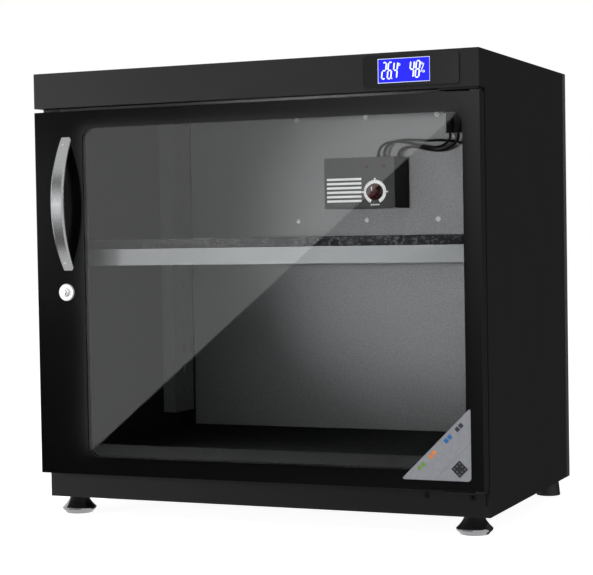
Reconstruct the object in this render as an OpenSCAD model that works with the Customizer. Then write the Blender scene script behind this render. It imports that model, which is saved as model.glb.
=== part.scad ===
// Electronic dry cabinet for cameras and lenses. All lengths are in millimetres.
// X runs across the front, Y from the front to the back, and Z up.
// The origin is on the floor, under the middle of the whole outline.

/* [Cabinet] */
// Width of the cabinet and of its door
cab_w = 480; // [460:5:560]
// Depth from the door's front face to the back panel
cab_d = 318; // [306:2:380]
// Height over the feet
cab_h = 460; // [450:5:560]
// Thickness of the folded steel sheet
sheet_t = 1.2; // [0.8:0.1:1.3]
// Height of the header over the door
header_h = 36; // [34:1:44]
// Height of the plinth under the door
plinth_h = 27; // [25:1:36]
// Height of the feet
foot_h = 19; // [17:1:26]
// Width of the body's front flange, which the door seal meets
flange_w = 20; // [18:1:22]
// Width of the flange under each side, which the feet are fixed to
base_flange_w = 38; // [36:1:50]
// Depth of the back panel's folded sides
back_fold = 12; // [8:1:20]
// Width of the sides' rear flange, which the back panel is screwed to
rear_flange_w = 22; // [18:1:24]
// Width of the sides' top flange, which the top cover rests on
top_return_w = 14; // [10:1:18]
// Rise of the ceiling over the header's lower edge
ceiling_rise = 3; // [2:0.5:8]
// Rise of the floor over the door's lower edge
floor_rise = 12; // [10:1:14]
// Thickness of the floor's foam mat
floor_mat_t = 6.5; // [4:0.5:7.5]

/* [Door] */
// Depth of the door frame
door_t = 15; // [14:0.5:17]
// Thickness of the magnetic seal behind the door
seal_t = 3; // [2.5:0.5:5]
// Width of the magnetic seal
seal_w = 8; // [6:0.5:9]
// Distance from the door's edge to the seal
seal_inset = 7; // [6.5:0.5:8]
// Gap between the door and the header
door_gap = 4; // [3.6:0.2:6]
// Left stile, from the door's edge to the window
stile_left = 56; // [52:1:80]
// Right stile, from the window to the door's edge
stile_right = 17; // [16:0.5:30]
// Top rail over the window
rail_top = 18; // [16:0.5:30]
// Bottom rail under the window
rail_bottom = 18.5; // [16:0.5:30]
// Corner radius of the window
window_r = 13; // [8:1:20]
// Thickness of the glass
glass_t = 4; // [3:0.5:5]
// Overlap of the glass behind the frame
glass_lap = 7; // [5:0.5:8]
// Thickness of the rubber behind the glass
glazing_t = 1; // [0.8:0.1:1.5]

/* [Hinges] */
// Diameter of the hinge pins
pin_d = 5; // [4:0.5:6]
// Distance from the door's right edge to the pins
pin_inset_x = 6; // [5.8:0.1:6.5]
// Distance from the door's front to the pins
pin_inset_y = 7; // [6.5:0.1:7.5]
// Length of a pin inside the door
pin_len = 14; // [10:1:18]
// Thickness of the hinge brackets
bracket_t = 2; // [1.5:0.1:2.2]
// Width of the lower bracket on the plinth
bracket_w = 66; // [60:1:80]
// Height of the lower bracket on the plinth
bracket_h = 15; // [13:1:16]
// Distance between the lower bracket's screws
bracket_pitch = 46; // [40:1:54]
// Thickness of the flange of the lower bush, which the door rides on
bush_flange_t = 1; // [0.8:0.1:1.2]

/* [Handle] */
// Length of the bow handle
handle_len = 137; // [120:1:160]
// Distance that the bow stands out of the door
handle_out = 21; // [18:0.5:26]
// Width of the bow at its middle
handle_w = 15; // [12:0.5:18]
// Width of the bow at its ends
handle_end_w = 12.5; // [11:0.5:14]
// Thickness of the bow
handle_t = 4; // [3:0.5:5]
// Distance from the door's left edge to the handle's middle line
handle_x = 36.7; // [34:0.1:38]
// Distance of the handle's middle below the door's upper edge
handle_drop = 95; // [85:1:105]

/* [Lock] */
// Distance from the door's left edge to the lock
lock_x = 34.7; // [33:0.1:38]
// Distance of the lock below the handle's middle
lock_drop = 91; // [88:1:105]
// Diameter of the lock's round head
lock_head_d = 18; // [16:0.5:20]
// Diameter of the lock's barrel
lock_barrel_d = 13; // [12:0.5:14]
// Diameter of the turning plug
lock_plug_d = 9.5; // [8:0.1:10]
// Length of the cam from the lock's axis
cam_len = 26; // [22:0.5:26]
// Width of the cam
cam_w = 10; // [9:0.5:12]

/* [Display] */
// Width of the display bezel
bezel_w = 95.5; // [80:0.5:120]
// Height of the display bezel
bezel_h = 30; // [27:0.5:31]
// Distance from the bezel to the cabinet's right edge
bezel_right = 19; // [12:1:40]
// Width of the lit display
lcd_w = 52; // [40:1:60]
// Height of the lit display
lcd_h = 23; // [18:0.5:24]
// Distance from the bezel's left edge to the lit display
lcd_left = 15; // [8:0.5:20]

/* [Shelf] */
// Number of free slots over the shelf's own slot
free_slot_count = 5; // [4:1:10]
// Height of the shelf's front trim
shelf_lip_h = 15.5; // [12:0.5:20]
// Gap between the body's front and the shelf
shelf_setback = 12; // [8:1:30]
// Gap between the shelf and the back wall
shelf_rear_gap = 15; // [10:1:30]
// Thickness of the shelf's foam mat
shelf_mat_t = 10; // [6:0.5:12]
// Running gap between the shelf and the posts on each side
shelf_gap = 2; // [1:0.5:4]
// Height of the posts' lower ends over the floor panel
post_rise = 24; // [12:1:30]
// Depth of a rear shelf post
rear_post_d = 48; // [36:1:50]
// Depth of a front shelf post
front_post_d = 33; // [28:1:40]
// Distance between the slots of a post
slot_pitch = 25; // [20:1:32]
// Height of a slot
slot_h = 10; // [8:1:12]

/* [Control box] */
// Width of the control box
box_w = 84; // [76:1:96]
// Depth of the control box
box_d = 48.8; // [44:0.2:60]
// Height of the control box
box_h = 57; // [54:1:62]
// Wall of the control box
box_wall = 2; // [1.5:0.1:2.5]
// Distance of the box's middle to the right of the cabinet's middle
box_x = 16.4; // [10:0.2:20]
// Distance from the ceiling down to the box
box_drop = 52; // [48:1:56]
// Diameter of the dial knob
knob_d = 18; // [14:0.5:20]
// Height of the dial knob
knob_h = 10; // [8:0.5:14]
// Distance from the box's right side to the dial
dial_right = 23.2; // [20:0.2:26]
// Height of the dial over the box's lower side
dial_rise = 18; // [16:0.5:22]
// Number of vent slots in the faceplate
vent_count = 6; // [3:1:6]
// Length of a vent slot
vent_len = 42; // [30:1:44]

/* [Drying module] */
// Distance between the columns of module screws
screw_pitch_x = 86; // [82:1:92]
// Distance between the rows of module screws
screw_pitch_z = 118; // [112:1:120]
// Distance of the module's middle to the right of the cabinet's middle
module_x = 7; // [4:0.5:12]
// Distance from the ceiling to the upper screws
screw_drop = 4.2; // [4:0.1:8]
// Distance that the rear cover stands out of the back panel
cover_out = 12; // [11:0.5:20]
// Margin of the rear cover around the screws
cover_margin = 15; // [13:1:20]
// Side of the square cooling tile
tile_w = 40; // [30:1:40]
// Thickness of the cooling tile
tile_t = 3.8; // [3:0.1:4.5]

/* [Feet] */
// Widest diameter of a front foot
foot_d = 36; // [32:1:38]
// Diameter of a front foot at the plinth
foot_neck_d = 18; // [14:1:22]
// Distance from the cabinet's side to a front foot's axis
foot_x = 22; // [20:1:26]
// Distance from the plinth's face to a front foot's axis
foot_y = 20; // [19:1:24]
// Distance from the cabinet's side to a rear foot's axis
rear_foot_x = 19; // [16:1:24]
// Distance from the back panel to a rear foot's axis
rear_foot_y = 20; // [18:1:30]
// Diameter of a foot's threaded stud
stud_d = 8; // [6:0.5:8.5]
// Diameter of a rear foot
rear_foot_d = 26; // [20:1:30]

/* [Hidden] */
// Overrun of every cut, so that no cut ends flush with a face
over = 1;
// Clearance of a screw or pipe in its hole, on the diameter
hole_play = 0.3;
// Running play of a shaft in its bearing, on the diameter
run_play = 0.1;
// Gap between neighbouring sheet metal edges
seam = 0.4;
$fn = 64;

half_w = cab_w / 2;
door_y = (handle_out - cab_d - cover_out) / 2;
back_y = door_y + cab_d;
body_y = door_y + door_t + seal_t;
door_z = foot_h + plinth_h;
header_z = cab_h - header_h;
door_top = header_z - door_gap;
door_h = door_top - door_z;
ceil_z = header_z + ceiling_rise;
post_top = header_z - sheet_t;
floor_z = door_z + floor_rise;
wall_x = half_w - sheet_t;
wall_y = back_y - sheet_t;
side_end_y = back_y - back_fold - seam;

// Window, taken from the door's left edge and lower edge
window_w = cab_w - stile_left - stile_right;
window_h = door_h - rail_bottom - rail_top;
window_x = stile_left + window_w / 2 - half_w;
window_z = door_z + rail_bottom + window_h / 2;
glass_y = door_y + sheet_t;
glazing_y = glass_y + glass_t;
glazing_inset = 2;
glazing_w = glass_lap - glazing_inset;
liner_lip_y = glazing_y + glazing_t;
liner_lap = 2;

// Height of the body's top flange, which hides behind the door's top rail
top_flange_lift = 2;
top_flange_h = rail_top + door_gap + ceiling_rise - top_flange_lift;
joggle = 3;
floor_hem = 10;
rail_lip = 15;

pin_x = half_w - pin_inset_x;
pin_y = door_y + pin_inset_y;
bush_d = 9;
bush_flange_d = 11.4;
bush_gap = 0.5;
upper_bush_flange_t = door_gap - bracket_t - bush_gap;
tongue_w = 38;
tongue_front = 2;
tongue_right = 4;
tongue_back = 9;
tongue_reach = pin_inset_y + tongue_back;
tongue_screw_back = 4;
tongue_screw_left = 5;
tongue_screw_right = 10;
bracket_right = 4;
bracket_screw_right = 16;
bracket_screw_drop = 7.5;
screw_d = 4;
screw_head_d = 7.2;
screw_head_h = 2.2;
flat_head_h = 1.4;
screw_len = 7;

handle_r = (pow(handle_len / 2, 2) + pow(handle_out, 2)) / (2 * handle_out);
handle_bulge = (handle_w - handle_end_w) / 2;
handle_side_r = (pow(handle_len / 2, 2) + pow(handle_bulge, 2)) / (2 * handle_bulge);
handle_post_d = 9;
handle_post_inset = 11;
handle_post_z = handle_len / 2 - handle_post_inset;
handle_post_out = 5;
handle_cx = handle_x - half_w;
handle_cz = door_top - handle_drop;

lock_cx = lock_x - half_w;
lock_cz = handle_cz - lock_drop;
lock_head_t = 2;
lock_nut_d = 22;
lock_nut_t = 3;
lock_plug_out = 0.5;
cam_t = 2;
cam_gap = 3.6;
cam_y = body_y + sheet_t + cam_gap;
cam_spigot_d = 6;
cam_hub_d = 12;
cam_screw_d = 8.5;
key_slot_w = 2;
key_slot_h = 6;
key_slot_depth = 8;

bezel_cx = half_w - bezel_right - bezel_w / 2;
bezel_cz = header_z + header_h / 2 + 0.5 * sheet_t;
bezel_t = 1.2;
bezel_r = 3;
bezel_lap = 3;
bezel_body = 6;
lcd_cx = half_w - bezel_right - bezel_w + lcd_left + lcd_w / 2;
lcd_recess = 0.8;
lcd_t = 4;
board_t = 1.6;
board_margin = 2;

post_w = flange_w - sheet_t;
post_step_w = 6.3;
post_step = 6;
post_gap = 8;
post_z = floor_z + post_rise;
slot_w = 4;
slot_end = 20;
slot_drop = 44.8;
hook_h = 6;
clip_rise = 9;
shelf_z = post_top - slot_drop - free_slot_count * slot_pitch + clip_rise;
shelf_y = body_y + shelf_setback;
shelf_d = wall_y - shelf_rear_gap - shelf_y;
shelf_w = cab_w - 2 * flange_w - 2 * shelf_gap;
trim_t = 1.5;
shelf_side_h = shelf_lip_h - trim_t;
trim_lap = 6;
clip_len = 12;
clip_w = 14;
clip_t = 1.5;
clip_h = 12;
hook_play = 0.3;

box_z = ceil_z - box_drop - box_h;
box_y = wall_y - box_d;
face_t = 1.5;
dial_cx = box_x + box_w / 2 - dial_right;
dial_cz = box_z + dial_rise;
shaft_d = 6;
pot_d = 16;
pot_bush_d = 9;
pot_t = 8;
pot_bush_len = 3;
pot_end_t = 2;
knob_grip_share = 0.8;
knob_gap = 1.2;
lamp_d = 3.4;
lamp_drop = 10.5;
lamp_pitch = 20;
lamp_right = 12.8;
vent_h = 2.6;
vent_pitch = 4.9;
vent_left = 2.6;
vent_rise = 7;

module_z = ceil_z - screw_drop - screw_pitch_z / 2;
tile_hole_play = 2;
tile_cz = box_z + box_h / 2;
tile_y = back_y - tile_t;
sink_base_t = 3;
sink_fin_t = 1.5;
sink_fin_pitch = 5;
cold_sink_w = 56;
cold_sink_h = 46;
cold_sink_d = 16;
hot_sink_w = 96;
hot_sink_h = 72;
cover_w = 2 * screw_pitch_x + 2 * cover_margin;
cover_h = screw_pitch_z + 2 * cover_margin;
cover_boss_d = 8;
small_screw_d = 3;
small_head_d = 6.4;
small_head_h = 2.4;
cover_slot_count = 9;
cover_slot_len = 70;
cover_slot_h = 4;
cover_slot_pitch = 10;

socket_h = 5;
plug_h = 22;
plug_z = ceil_z - socket_h - plug_h;
plug_d = 10;
plug_back = 16.8;
plug_y = wall_y - plug_back;
plug_a_x = 113.5;
plug_a_w = 7.4;
plug_b_x = 123;
plug_b_w = 10;
socket_w = 22;
socket_d = 13;
sensor_w = 22;
sensor_d = 20;
sensor_h = 30;
sensor_gap = 4;
sensor_drop = 49;
sensor_x = half_w - flange_w - sensor_gap - sensor_w / 2;
sensor_z = ceil_z - sensor_drop;
wire_hole_d = 10;

inlet_x = 150;
inlet_z = header_z + header_h / 2;
inlet_w = 14;
inlet_h = 11;
inlet_depth = 13;
inlet_rim = 1.5;
inlet_bore_d = 5.5;
inlet_bore_depth = 9.5;

foot_rim_z = 6;
foot_base_d = 29;
foot_rim_t = 1.5;
nut_af = 13;
nut_h = 6.5;
stud_top = 14;
rear_foot_top_d = 22;
mat_gap = 0.5;

// Triangular label across the window's lower right corner
label_side = 69.5;
label_r = 3.5;
label_t = 0.3;
label_right = 12.5;
label_rise = 9.5;

// Ways of the three leads: box to plug a, box to plug b, and box to the sensor. Each point is given
// by its X, its distance in front of the back wall and its distance below the ceiling.
lead_d = 3;
lead_sides = 8;
lead_steps = 2;
box_top = box_z + box_h;
sensor_lead_drop = 38;
way_a = [
    [30, 21.3, box_drop], [30, 21.3, 46], [33, 21.3, 40], [39, 20.8, 36], [48, 20.3, 34.5],
    [60, 20.3, 35.5], [72, 20.8, 38], [84, 21.3, 41], [95, 20.8, 42.5], [104, 19.3, 41],
    [110.5, 17.8, 37], [113.5, 16.8, 32], [plug_a_x, plug_back, socket_h + plug_h]];
way_b = [
    [50, 10.3, box_drop], [50, 10.3, 48], [53, 11.3, 44], [60, 12.8, 41], [70, 14.3, 40.5],
    [82, 15.3, 43], [94, 16.3, 45.5], [105, 16.8, 45.5], [114, 16.8, 42.5], [120.5, 16.8, 37.5],
    [123, 16.8, 32], [plug_b_x, plug_back, socket_h + plug_h]];
way_c = [
    [35, 15.3, box_drop], [35, 15.3, 45], [38, 14.8, 39], [45, 13.8, 34.5], [56, 12.3, 32.5],
    [70, 10.8, 33], [84, 10.3, 34], [98, 9.8, 34], [112, 9.3, 35.5], [126, 9.3, 38], [142, 9.3, 40],
    [158, 9.3, 40.5], [174, 9.8, 39], [186, 10.3, 38], [sensor_x - sensor_w / 2, 10.3, sensor_lead_drop]];

// Block between two corners
module block(from, to) {
    translate(from) cube(to - from);
}

// Cylinder along Y from one depth to another
module rod_y(x, y0, y1, z, d) {
    translate([x, y0, z]) rotate([-90, 0, 0]) cylinder(d = d, h = y1 - y0);
}

// Cylinder along Z from one height to another
module rod_z(x, y, z0, z1, d) {
    translate([x, y, z0]) cylinder(d = d, h = z1 - z0);
}

// Flat rectangle with round corners, centred
module rounded(w, h, r) {
    square([w - 2 * r, h], center = true);
    square([w, h - 2 * r], center = true);
    for (sx = [-1, 1], sy = [-1, 1]) {
        translate([sx * (w / 2 - r), sy * (h / 2 - r)]) circle(r = r);
    }
}

// Upright plate with round corners, from one depth to another
module upright_plate(cx, cz, y0, y1, w, h, r) {
    translate([cx, y1, cz]) rotate([90, 0, 0]) linear_extrude(y1 - y0) rounded(w, h, r);
}

// The window's outline, grown by a margin
module window_plate(y0, y1, grow) {
    upright_plate(window_x, window_z, y0, y1, window_w + 2 * grow, window_h + 2 * grow, window_r + grow);
}

// Side panel on the left, with its four inward flanges
module side_sheet() {
    outer = -half_w;
    difference() {
        union() {
            block([outer, body_y, foot_h], [-wall_x, side_end_y, header_z]);
            block([outer, body_y, foot_h], [outer + flange_w, body_y + sheet_t, header_z]);
            block([outer, body_y + sheet_t, foot_h],
                [outer + base_flange_w, side_end_y, foot_h + sheet_t]);
            block([outer, body_y, post_top], [outer + top_return_w, side_end_y, header_z]);
            block([-wall_x, side_end_y - joggle, foot_h], [-wall_x + sheet_t, wall_y, header_z]);
            block([-wall_x, wall_y - sheet_t, foot_h], [outer + rear_flange_w, wall_y, header_z]);
        }
        rod_z(outer + foot_x, body_y + foot_y, foot_h - over, foot_h + sheet_t + over,
            stud_d + 2 * hole_play);
        rod_z(outer + rear_foot_x, back_y - rear_foot_y, foot_h - over, foot_h + sheet_t + over,
            small_screw_d + hole_play);
        for (z = case_screw_z()) {
            rod_y(-case_screw_x(), wall_y - sheet_t - over, wall_y + over, z, small_screw_d + hole_play);
        }
    }
}

// Heights of the screws that hold the back panel, and their distance from the middle
function case_screw_z() = [for (i = [1, 3, 5]) foot_h + (header_z - foot_h) * i / 6];
function case_screw_x() = half_w - (rear_flange_w + sheet_t) / 2;

module left_side_panel() {
    color("#26272a") side_sheet();
}

module right_side_panel() {
    color("#26272a") difference() {
        mirror([1, 0, 0]) side_sheet();
        rod_y(lower_screw_x()[1], body_y - over, body_y + sheet_t + over, lower_screw_z(),
            screw_d + hole_play);
    }
}

// Places of the six screws of the drying module
function module_screws_at() = [for (i = [-1 : 1], j = [-0.5, 0.5])
    [module_x + i * screw_pitch_x, module_z + j * screw_pitch_z]];

module back_panel() {
    color("#232426") difference() {
        union() {
            block([-half_w, wall_y, foot_h], [half_w, back_y, cab_h - sheet_t]);
            for (side = [-1, 1]) {
                x = side * (half_w + wall_x) / 2;
                block([x - sheet_t / 2, back_y - back_fold, foot_h],
                    [x + sheet_t / 2, back_y, cab_h - sheet_t]);
            }
        }
        tile_hole = tile_w + 2 * tile_hole_play;
        block([box_x - tile_hole / 2, wall_y - over, tile_cz - tile_hole / 2],
            [box_x + tile_hole / 2, back_y + over, tile_cz + tile_hole / 2]);
        for (p = module_screws_at()) {
            rod_y(p[0], wall_y - over, back_y + over, p[1], small_screw_d + hole_play);
        }
        for (side = [-1, 1], z = case_screw_z()) {
            rod_y(side * case_screw_x(), wall_y - over, back_y + over, z, small_screw_d + hole_play);
        }
        block([inlet_x - inlet_w / 2, wall_y - over, inlet_z - inlet_h / 2],
            [inlet_x + inlet_w / 2, back_y + over, inlet_z + inlet_h / 2]);
    }
}

module floor_panel() {
    inner = wall_x - sheet_t;
    color("#1d1e20") {
        block([-inner, body_y + sheet_t, floor_z - sheet_t], [inner, wall_y - sheet_t, floor_z]);
        for (side = [-1, 1]) {
            x = side * (wall_x - sheet_t / 2);
            block([x - sheet_t / 2, body_y + sheet_t, floor_z - sheet_t - floor_hem],
                [x + sheet_t / 2, side_end_y - joggle, floor_z]);
        }
    }
}

module front_rail() {
    inner = half_w - flange_w;
    lower = half_w - base_flange_w;
    color("#202124") difference() {
        union() {
            block([-inner, body_y, foot_h], [inner, body_y + sheet_t, floor_z]);
            block([-lower, body_y, foot_h], [lower, body_y + rail_lip, foot_h + sheet_t]);
            block([-inner, body_y, floor_z - 2 * sheet_t], [inner, body_y + rail_lip, floor_z - sheet_t]);
        }
        rod_y(lower_screw_x()[0], body_y - over, body_y + sheet_t + over, lower_screw_z(),
            screw_d + hole_play);
    }
}

module ceiling_panel() {
    inner = half_w - flange_w;
    color("#1d1e20") difference() {
        union() {
            block([-wall_x, body_y + sheet_t, ceil_z], [wall_x, side_end_y, ceil_z + sheet_t]);
            block([-wall_x + sheet_t, body_y + sheet_t, ceil_z],
                [wall_x - sheet_t, wall_y, ceil_z + sheet_t]);
            block([-inner, body_y, ceil_z + sheet_t - top_flange_h],
                [inner, body_y + sheet_t, ceil_z + sheet_t]);
            for (side = [-1, 1]) {
                x = side * (wall_x - sheet_t / 2);
                block([x - sheet_t / 2, body_y + sheet_t, header_z + sheet_t],
                    [x + sheet_t / 2, side_end_y, ceil_z]);
            }
        }
        rod_z((plug_a_x + plug_b_x) / 2, plug_y, ceil_z - over, ceil_z + sheet_t + over, wire_hole_d);
        rod_z(lcd_cx, body_y + wire_hole_d, ceil_z - over, ceil_z + sheet_t + over, wire_hole_d);
    }
}

// Block that fills the hole behind the bezel, less a gap all round
module bezel_block(y0, y1, gap) {
    w = bezel_w / 2 - bezel_lap - gap;
    h = bezel_h / 2 - bezel_lap - gap;
    block([bezel_cx - w, y0, bezel_cz - h], [bezel_cx + w, y1, bezel_cz + h]);
}

module top_cover() {
    top = cab_h - sheet_t;
    color("#2c2d30") difference() {
        union() {
            block([-half_w, door_y, top], [half_w, back_y, cab_h]);
            block([-half_w, door_y, header_z], [half_w, door_y + sheet_t, cab_h]);
            for (side = [-1, 1]) {
                x = side * (half_w + wall_x) / 2;
                block([x - sheet_t / 2, door_y, header_z], [x + sheet_t / 2, side_end_y, cab_h]);
                rest_x = side * (half_w - top_return_w / 2);
                block([rest_x - top_return_w / 2, door_y, header_z],
                    [rest_x + top_return_w / 2, side_end_y, header_z + sheet_t]);
            }
            block([-half_w, door_y, header_z], [half_w, body_y, header_z + sheet_t]);
        }
        bezel_block(door_y - over, door_y + sheet_t + over, 0);
        for (x = hinge_screw_x()) {
            rod_z(x, upper_screw_y(), header_z - over, header_z + sheet_t + over, screw_d + hole_play);
        }
    }
}

module floor_mat() {
    half = wall_x - sheet_t - mat_gap;
    color("#18181a") block([-half, body_y + sheet_t + mat_gap, floor_z],
        [half, wall_y - sheet_t - mat_gap, floor_z + floor_mat_t]);
}

function front_post_y() = body_y + sheet_t + post_gap;
function rear_post_y() = wall_y - sheet_t - rear_post_d;
function slot_z() = [for (z = [post_top - slot_drop : -slot_pitch : post_z + slot_end]) z];

// Folded post on the left wall, with a stepped front and a row of slots
module post(y, d, step, heel) {
    outline = [[0, step], [post_step_w, step], [post_step_w, 0], [post_w, 0], [post_w, d], [heel, d],
        [heel, d - sheet_t], [0, d - sheet_t]];
    inner = [[-over, step + sheet_t], [post_step_w + sheet_t, step + sheet_t],
        [post_step_w + sheet_t, sheet_t], [post_w - sheet_t, sheet_t], [post_w - sheet_t, d - sheet_t],
        [-over, d - sheet_t]];
    difference() {
        translate([-wall_x, y, post_z]) linear_extrude(post_top - post_z) difference() {
            polygon(outline);
            polygon(inner);
        }
        for (z = slot_z()) {
            block([-half_w + flange_w - sheet_t - over, y + d / 2 - slot_w / 2, z],
                [-half_w + flange_w + over, y + d / 2 + slot_w / 2, z + slot_h]);
        }
    }
}

module shelf_post_front_left() {
    color("#2a2b2d") post(front_post_y(), front_post_d, 0, 0);
}

module shelf_post_front_right() {
    color("#2a2b2d") mirror([1, 0, 0]) post(front_post_y(), front_post_d, 0, 0);
}

// Rear post, held by the screws of the back panel
module rear_post() {
    difference() {
        post(rear_post_y(), rear_post_d, post_step, sheet_t);
        for (z = case_screw_z()) {
            rod_y(-case_screw_x(), wall_y - 2 * sheet_t - over, wall_y - sheet_t + over, z,
                small_screw_d + hole_play);
        }
    }
}

module shelf_post_rear_left() {
    color("#2a2b2d") rear_post();
}

module shelf_post_rear_right() {
    color("#2a2b2d") mirror([1, 0, 0]) rear_post();
}

// Angle clip that hooks into a slot of a post and carries the shelf's edge
module clip(y) {
    x = -half_w + flange_w;
    slot = shelf_z - clip_rise;
    w = slot_w - 2 * hook_play;
    x_hook = x - sheet_t - hook_play - clip_t;
    block([x, y - clip_w / 2, shelf_z - clip_h], [x + clip_t, y + clip_w / 2, shelf_z]);
    block([x, y - clip_w / 2, shelf_z - clip_t], [x + clip_len, y + clip_w / 2, shelf_z]);
    block([x_hook, y - w / 2, slot], [x, y + w / 2, slot + hook_h]);
    block([x_hook, y - w / 2, slot - clip_t], [x_hook + clip_t, y + w / 2, slot + hook_h]);
}

module shelf_clips() {
    middles = [front_post_y() + front_post_d / 2, rear_post_y() + rear_post_d / 2];
    color("silver") for (side = [0, 1], y = middles) {
        mirror([side, 0, 0]) clip(y);
    }
}

module display_bezel() {
    color("#0b0c10") difference() {
        union() {
            upright_plate(bezel_cx, bezel_cz, door_y - bezel_t, door_y, bezel_w, bezel_h, bezel_r);
            bezel_block(door_y - seam / 2, door_y + bezel_body, seam / 2);
        }
        block([lcd_cx - lcd_w / 2, door_y - bezel_t - over, bezel_cz - lcd_h / 2],
            [lcd_cx + lcd_w / 2, door_y + bezel_body + over, bezel_cz + lcd_h / 2]);
    }
}

module lcd_module() {
    color("#2338ff") {
        block([lcd_cx - lcd_w / 2, door_y - bezel_t + lcd_recess, bezel_cz - lcd_h / 2],
            [lcd_cx + lcd_w / 2, door_y + bezel_body, bezel_cz + lcd_h / 2]);
        block([lcd_cx - lcd_w / 2 - board_margin, door_y + bezel_body, bezel_cz - lcd_h / 2],
            [lcd_cx + lcd_w / 2 + board_margin, door_y + bezel_body + lcd_t, bezel_cz + lcd_h / 2]);
    }
}

module display_board() {
    y = door_y + bezel_body + lcd_t;
    color("#1f5a35") bezel_block(y, y + board_t, 0);
}

module control_box() {
    tile_hole = tile_w + 2 * tile_hole_play;
    color("#101012") difference() {
        block([box_x - box_w / 2, box_y + face_t, box_z], [box_x + box_w / 2, wall_y, box_top]);
        block([box_x - box_w / 2 + box_wall, box_y, box_z + box_wall],
            [box_x + box_w / 2 - box_wall, wall_y - box_wall, box_top - box_wall]);
        block([box_x - tile_hole / 2, wall_y - box_wall - over, tile_cz - tile_hole / 2],
            [box_x + tile_hole / 2, wall_y + over, tile_cz + tile_hole / 2]);
        for (i = [-2 : 2]) {
            block([box_x + i * vent_pitch * 2 - vent_h / 2, box_y + box_d / 3, box_z - over],
                [box_x + i * vent_pitch * 2 + vent_h / 2, box_y + box_d * 2 / 3, box_z + box_wall + over]);
        }
    }
}

function lamp_places() = [for (i = [0, 1])
    [box_x + box_w / 2 - lamp_right - i * lamp_pitch, box_top - lamp_drop]];

module control_faceplate() {
    color("#5a5b5e") difference() {
        block([box_x - box_w / 2, box_y, box_z], [box_x + box_w / 2, box_y + face_t, box_top]);
        rod_y(dial_cx, box_y - over, box_y + face_t + over, dial_cz, pot_bush_d + hole_play);
        for (p = lamp_places()) {
            rod_y(p[0], box_y - over, box_y + face_t + over, p[1], lamp_d);
        }
        for (i = [0 : vent_count - 1]) {
            z = box_z + vent_rise + i * vent_pitch;
            block([box_x - box_w / 2 + vent_left, box_y - over, z],
                [box_x - box_w / 2 + vent_left + vent_len, box_y + face_t + over, z + vent_h]);
        }
    }
}

module status_lamps() {
    color("#5c1410") for (p = lamp_places()) {
        translate([p[0], box_y, p[1]]) intersection() {
            sphere(d = lamp_d);
            block([-lamp_d, -lamp_d, -lamp_d], [lamp_d, 0, lamp_d]);
        }
        rod_y(p[0], box_y, box_y + board_y_gap(), p[1], lamp_d - run_play);
    }
}

// Distance from the faceplate's front to the control board
function board_y_gap() = face_t + pot_t + pot_bush_len;

module potentiometer() {
    y = box_y + board_y_gap();
    color("#8a8d90") difference() {
        union() {
            rod_y(dial_cx, y - pot_t, y, dial_cz, pot_d);
            rod_y(dial_cx, box_y, y - pot_t, dial_cz, pot_bush_d);
        }
        rod_y(dial_cx, box_y - over, y - pot_end_t, dial_cz, shaft_d + run_play);
    }
}

module control_board() {
    y = box_y + board_y_gap();
    edge = box_wall + seam;
    color("#1f5a35") block([box_x - box_w / 2 + box_wall, y, box_z + edge],
        [box_x + box_w / 2 - box_wall, y + board_t, box_top - edge]);
}

module cooling_tile() {
    color("#e6e3da") block([box_x - tile_w / 2, tile_y, tile_cz - tile_w / 2],
        [box_x + tile_w / 2, back_y, tile_cz + tile_w / 2]);
}

// Finned sink on a base, with its base against the given depth
module sink(w, h, depth, y, dir) {
    y_base = y + dir * sink_base_t;
    y_fin = y + dir * depth;
    count = floor((w - sink_fin_t) / sink_fin_pitch);
    left = box_x - (count * sink_fin_pitch + sink_fin_t) / 2;
    right = left + count * sink_fin_pitch + sink_fin_t;
    block([left, min(y, y_base), tile_cz - h / 2], [right, max(y, y_base), tile_cz + h / 2]);
    for (i = [0 : count]) {
        block([left + i * sink_fin_pitch, min(y, y_fin), tile_cz - h / 2],
            [left + i * sink_fin_pitch + sink_fin_t, max(y, y_fin), tile_cz + h / 2]);
    }
}

module cold_sink() {
    color("silver") sink(cold_sink_w, cold_sink_h, cold_sink_d, tile_y, -1);
}

module hot_sink() {
    color("silver") sink(hot_sink_w, hot_sink_h, cover_out - sheet_t - seam, back_y, 1);
}

module rear_vent_cover() {
    y1 = back_y + cover_out;
    color("#28292b") difference() {
        union() {
            difference() {
                block([module_x - cover_w / 2, back_y, module_z - cover_h / 2],
                    [module_x + cover_w / 2, y1, module_z + cover_h / 2]);
                block([module_x - cover_w / 2 + sheet_t, back_y - over, module_z - cover_h / 2 + sheet_t],
                    [module_x + cover_w / 2 - sheet_t, y1 - sheet_t, module_z + cover_h / 2 - sheet_t]);
            }
            for (p = module_screws_at()) {
                rod_y(p[0], back_y, y1 - sheet_t / 2, p[1], cover_boss_d);
            }
        }
        for (p = module_screws_at()) {
            rod_y(p[0], back_y - over, y1 - 2 * sheet_t, p[1], small_screw_d + run_play);
        }
        for (side = [-1, 1], i = [0 : cover_slot_count - 1]) {
            x = module_x + side * screw_pitch_x / 2;
            z = module_z + (i - (cover_slot_count - 1) / 2) * cover_slot_pitch;
            block([x - cover_slot_len / 2, y1 - sheet_t - over, z - cover_slot_h / 2],
                [x + cover_slot_len / 2, y1 + over, z + cover_slot_h / 2]);
        }
    }
}

module module_screws() {
    color("#c9c9c9") for (p = module_screws_at()) {
        rod_y(p[0], wall_y - small_head_h, wall_y, p[1], small_head_d);
        rod_y(p[0], wall_y - small_head_h, back_y + cover_out - 3 * sheet_t, p[1], small_screw_d);
    }
}

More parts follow.
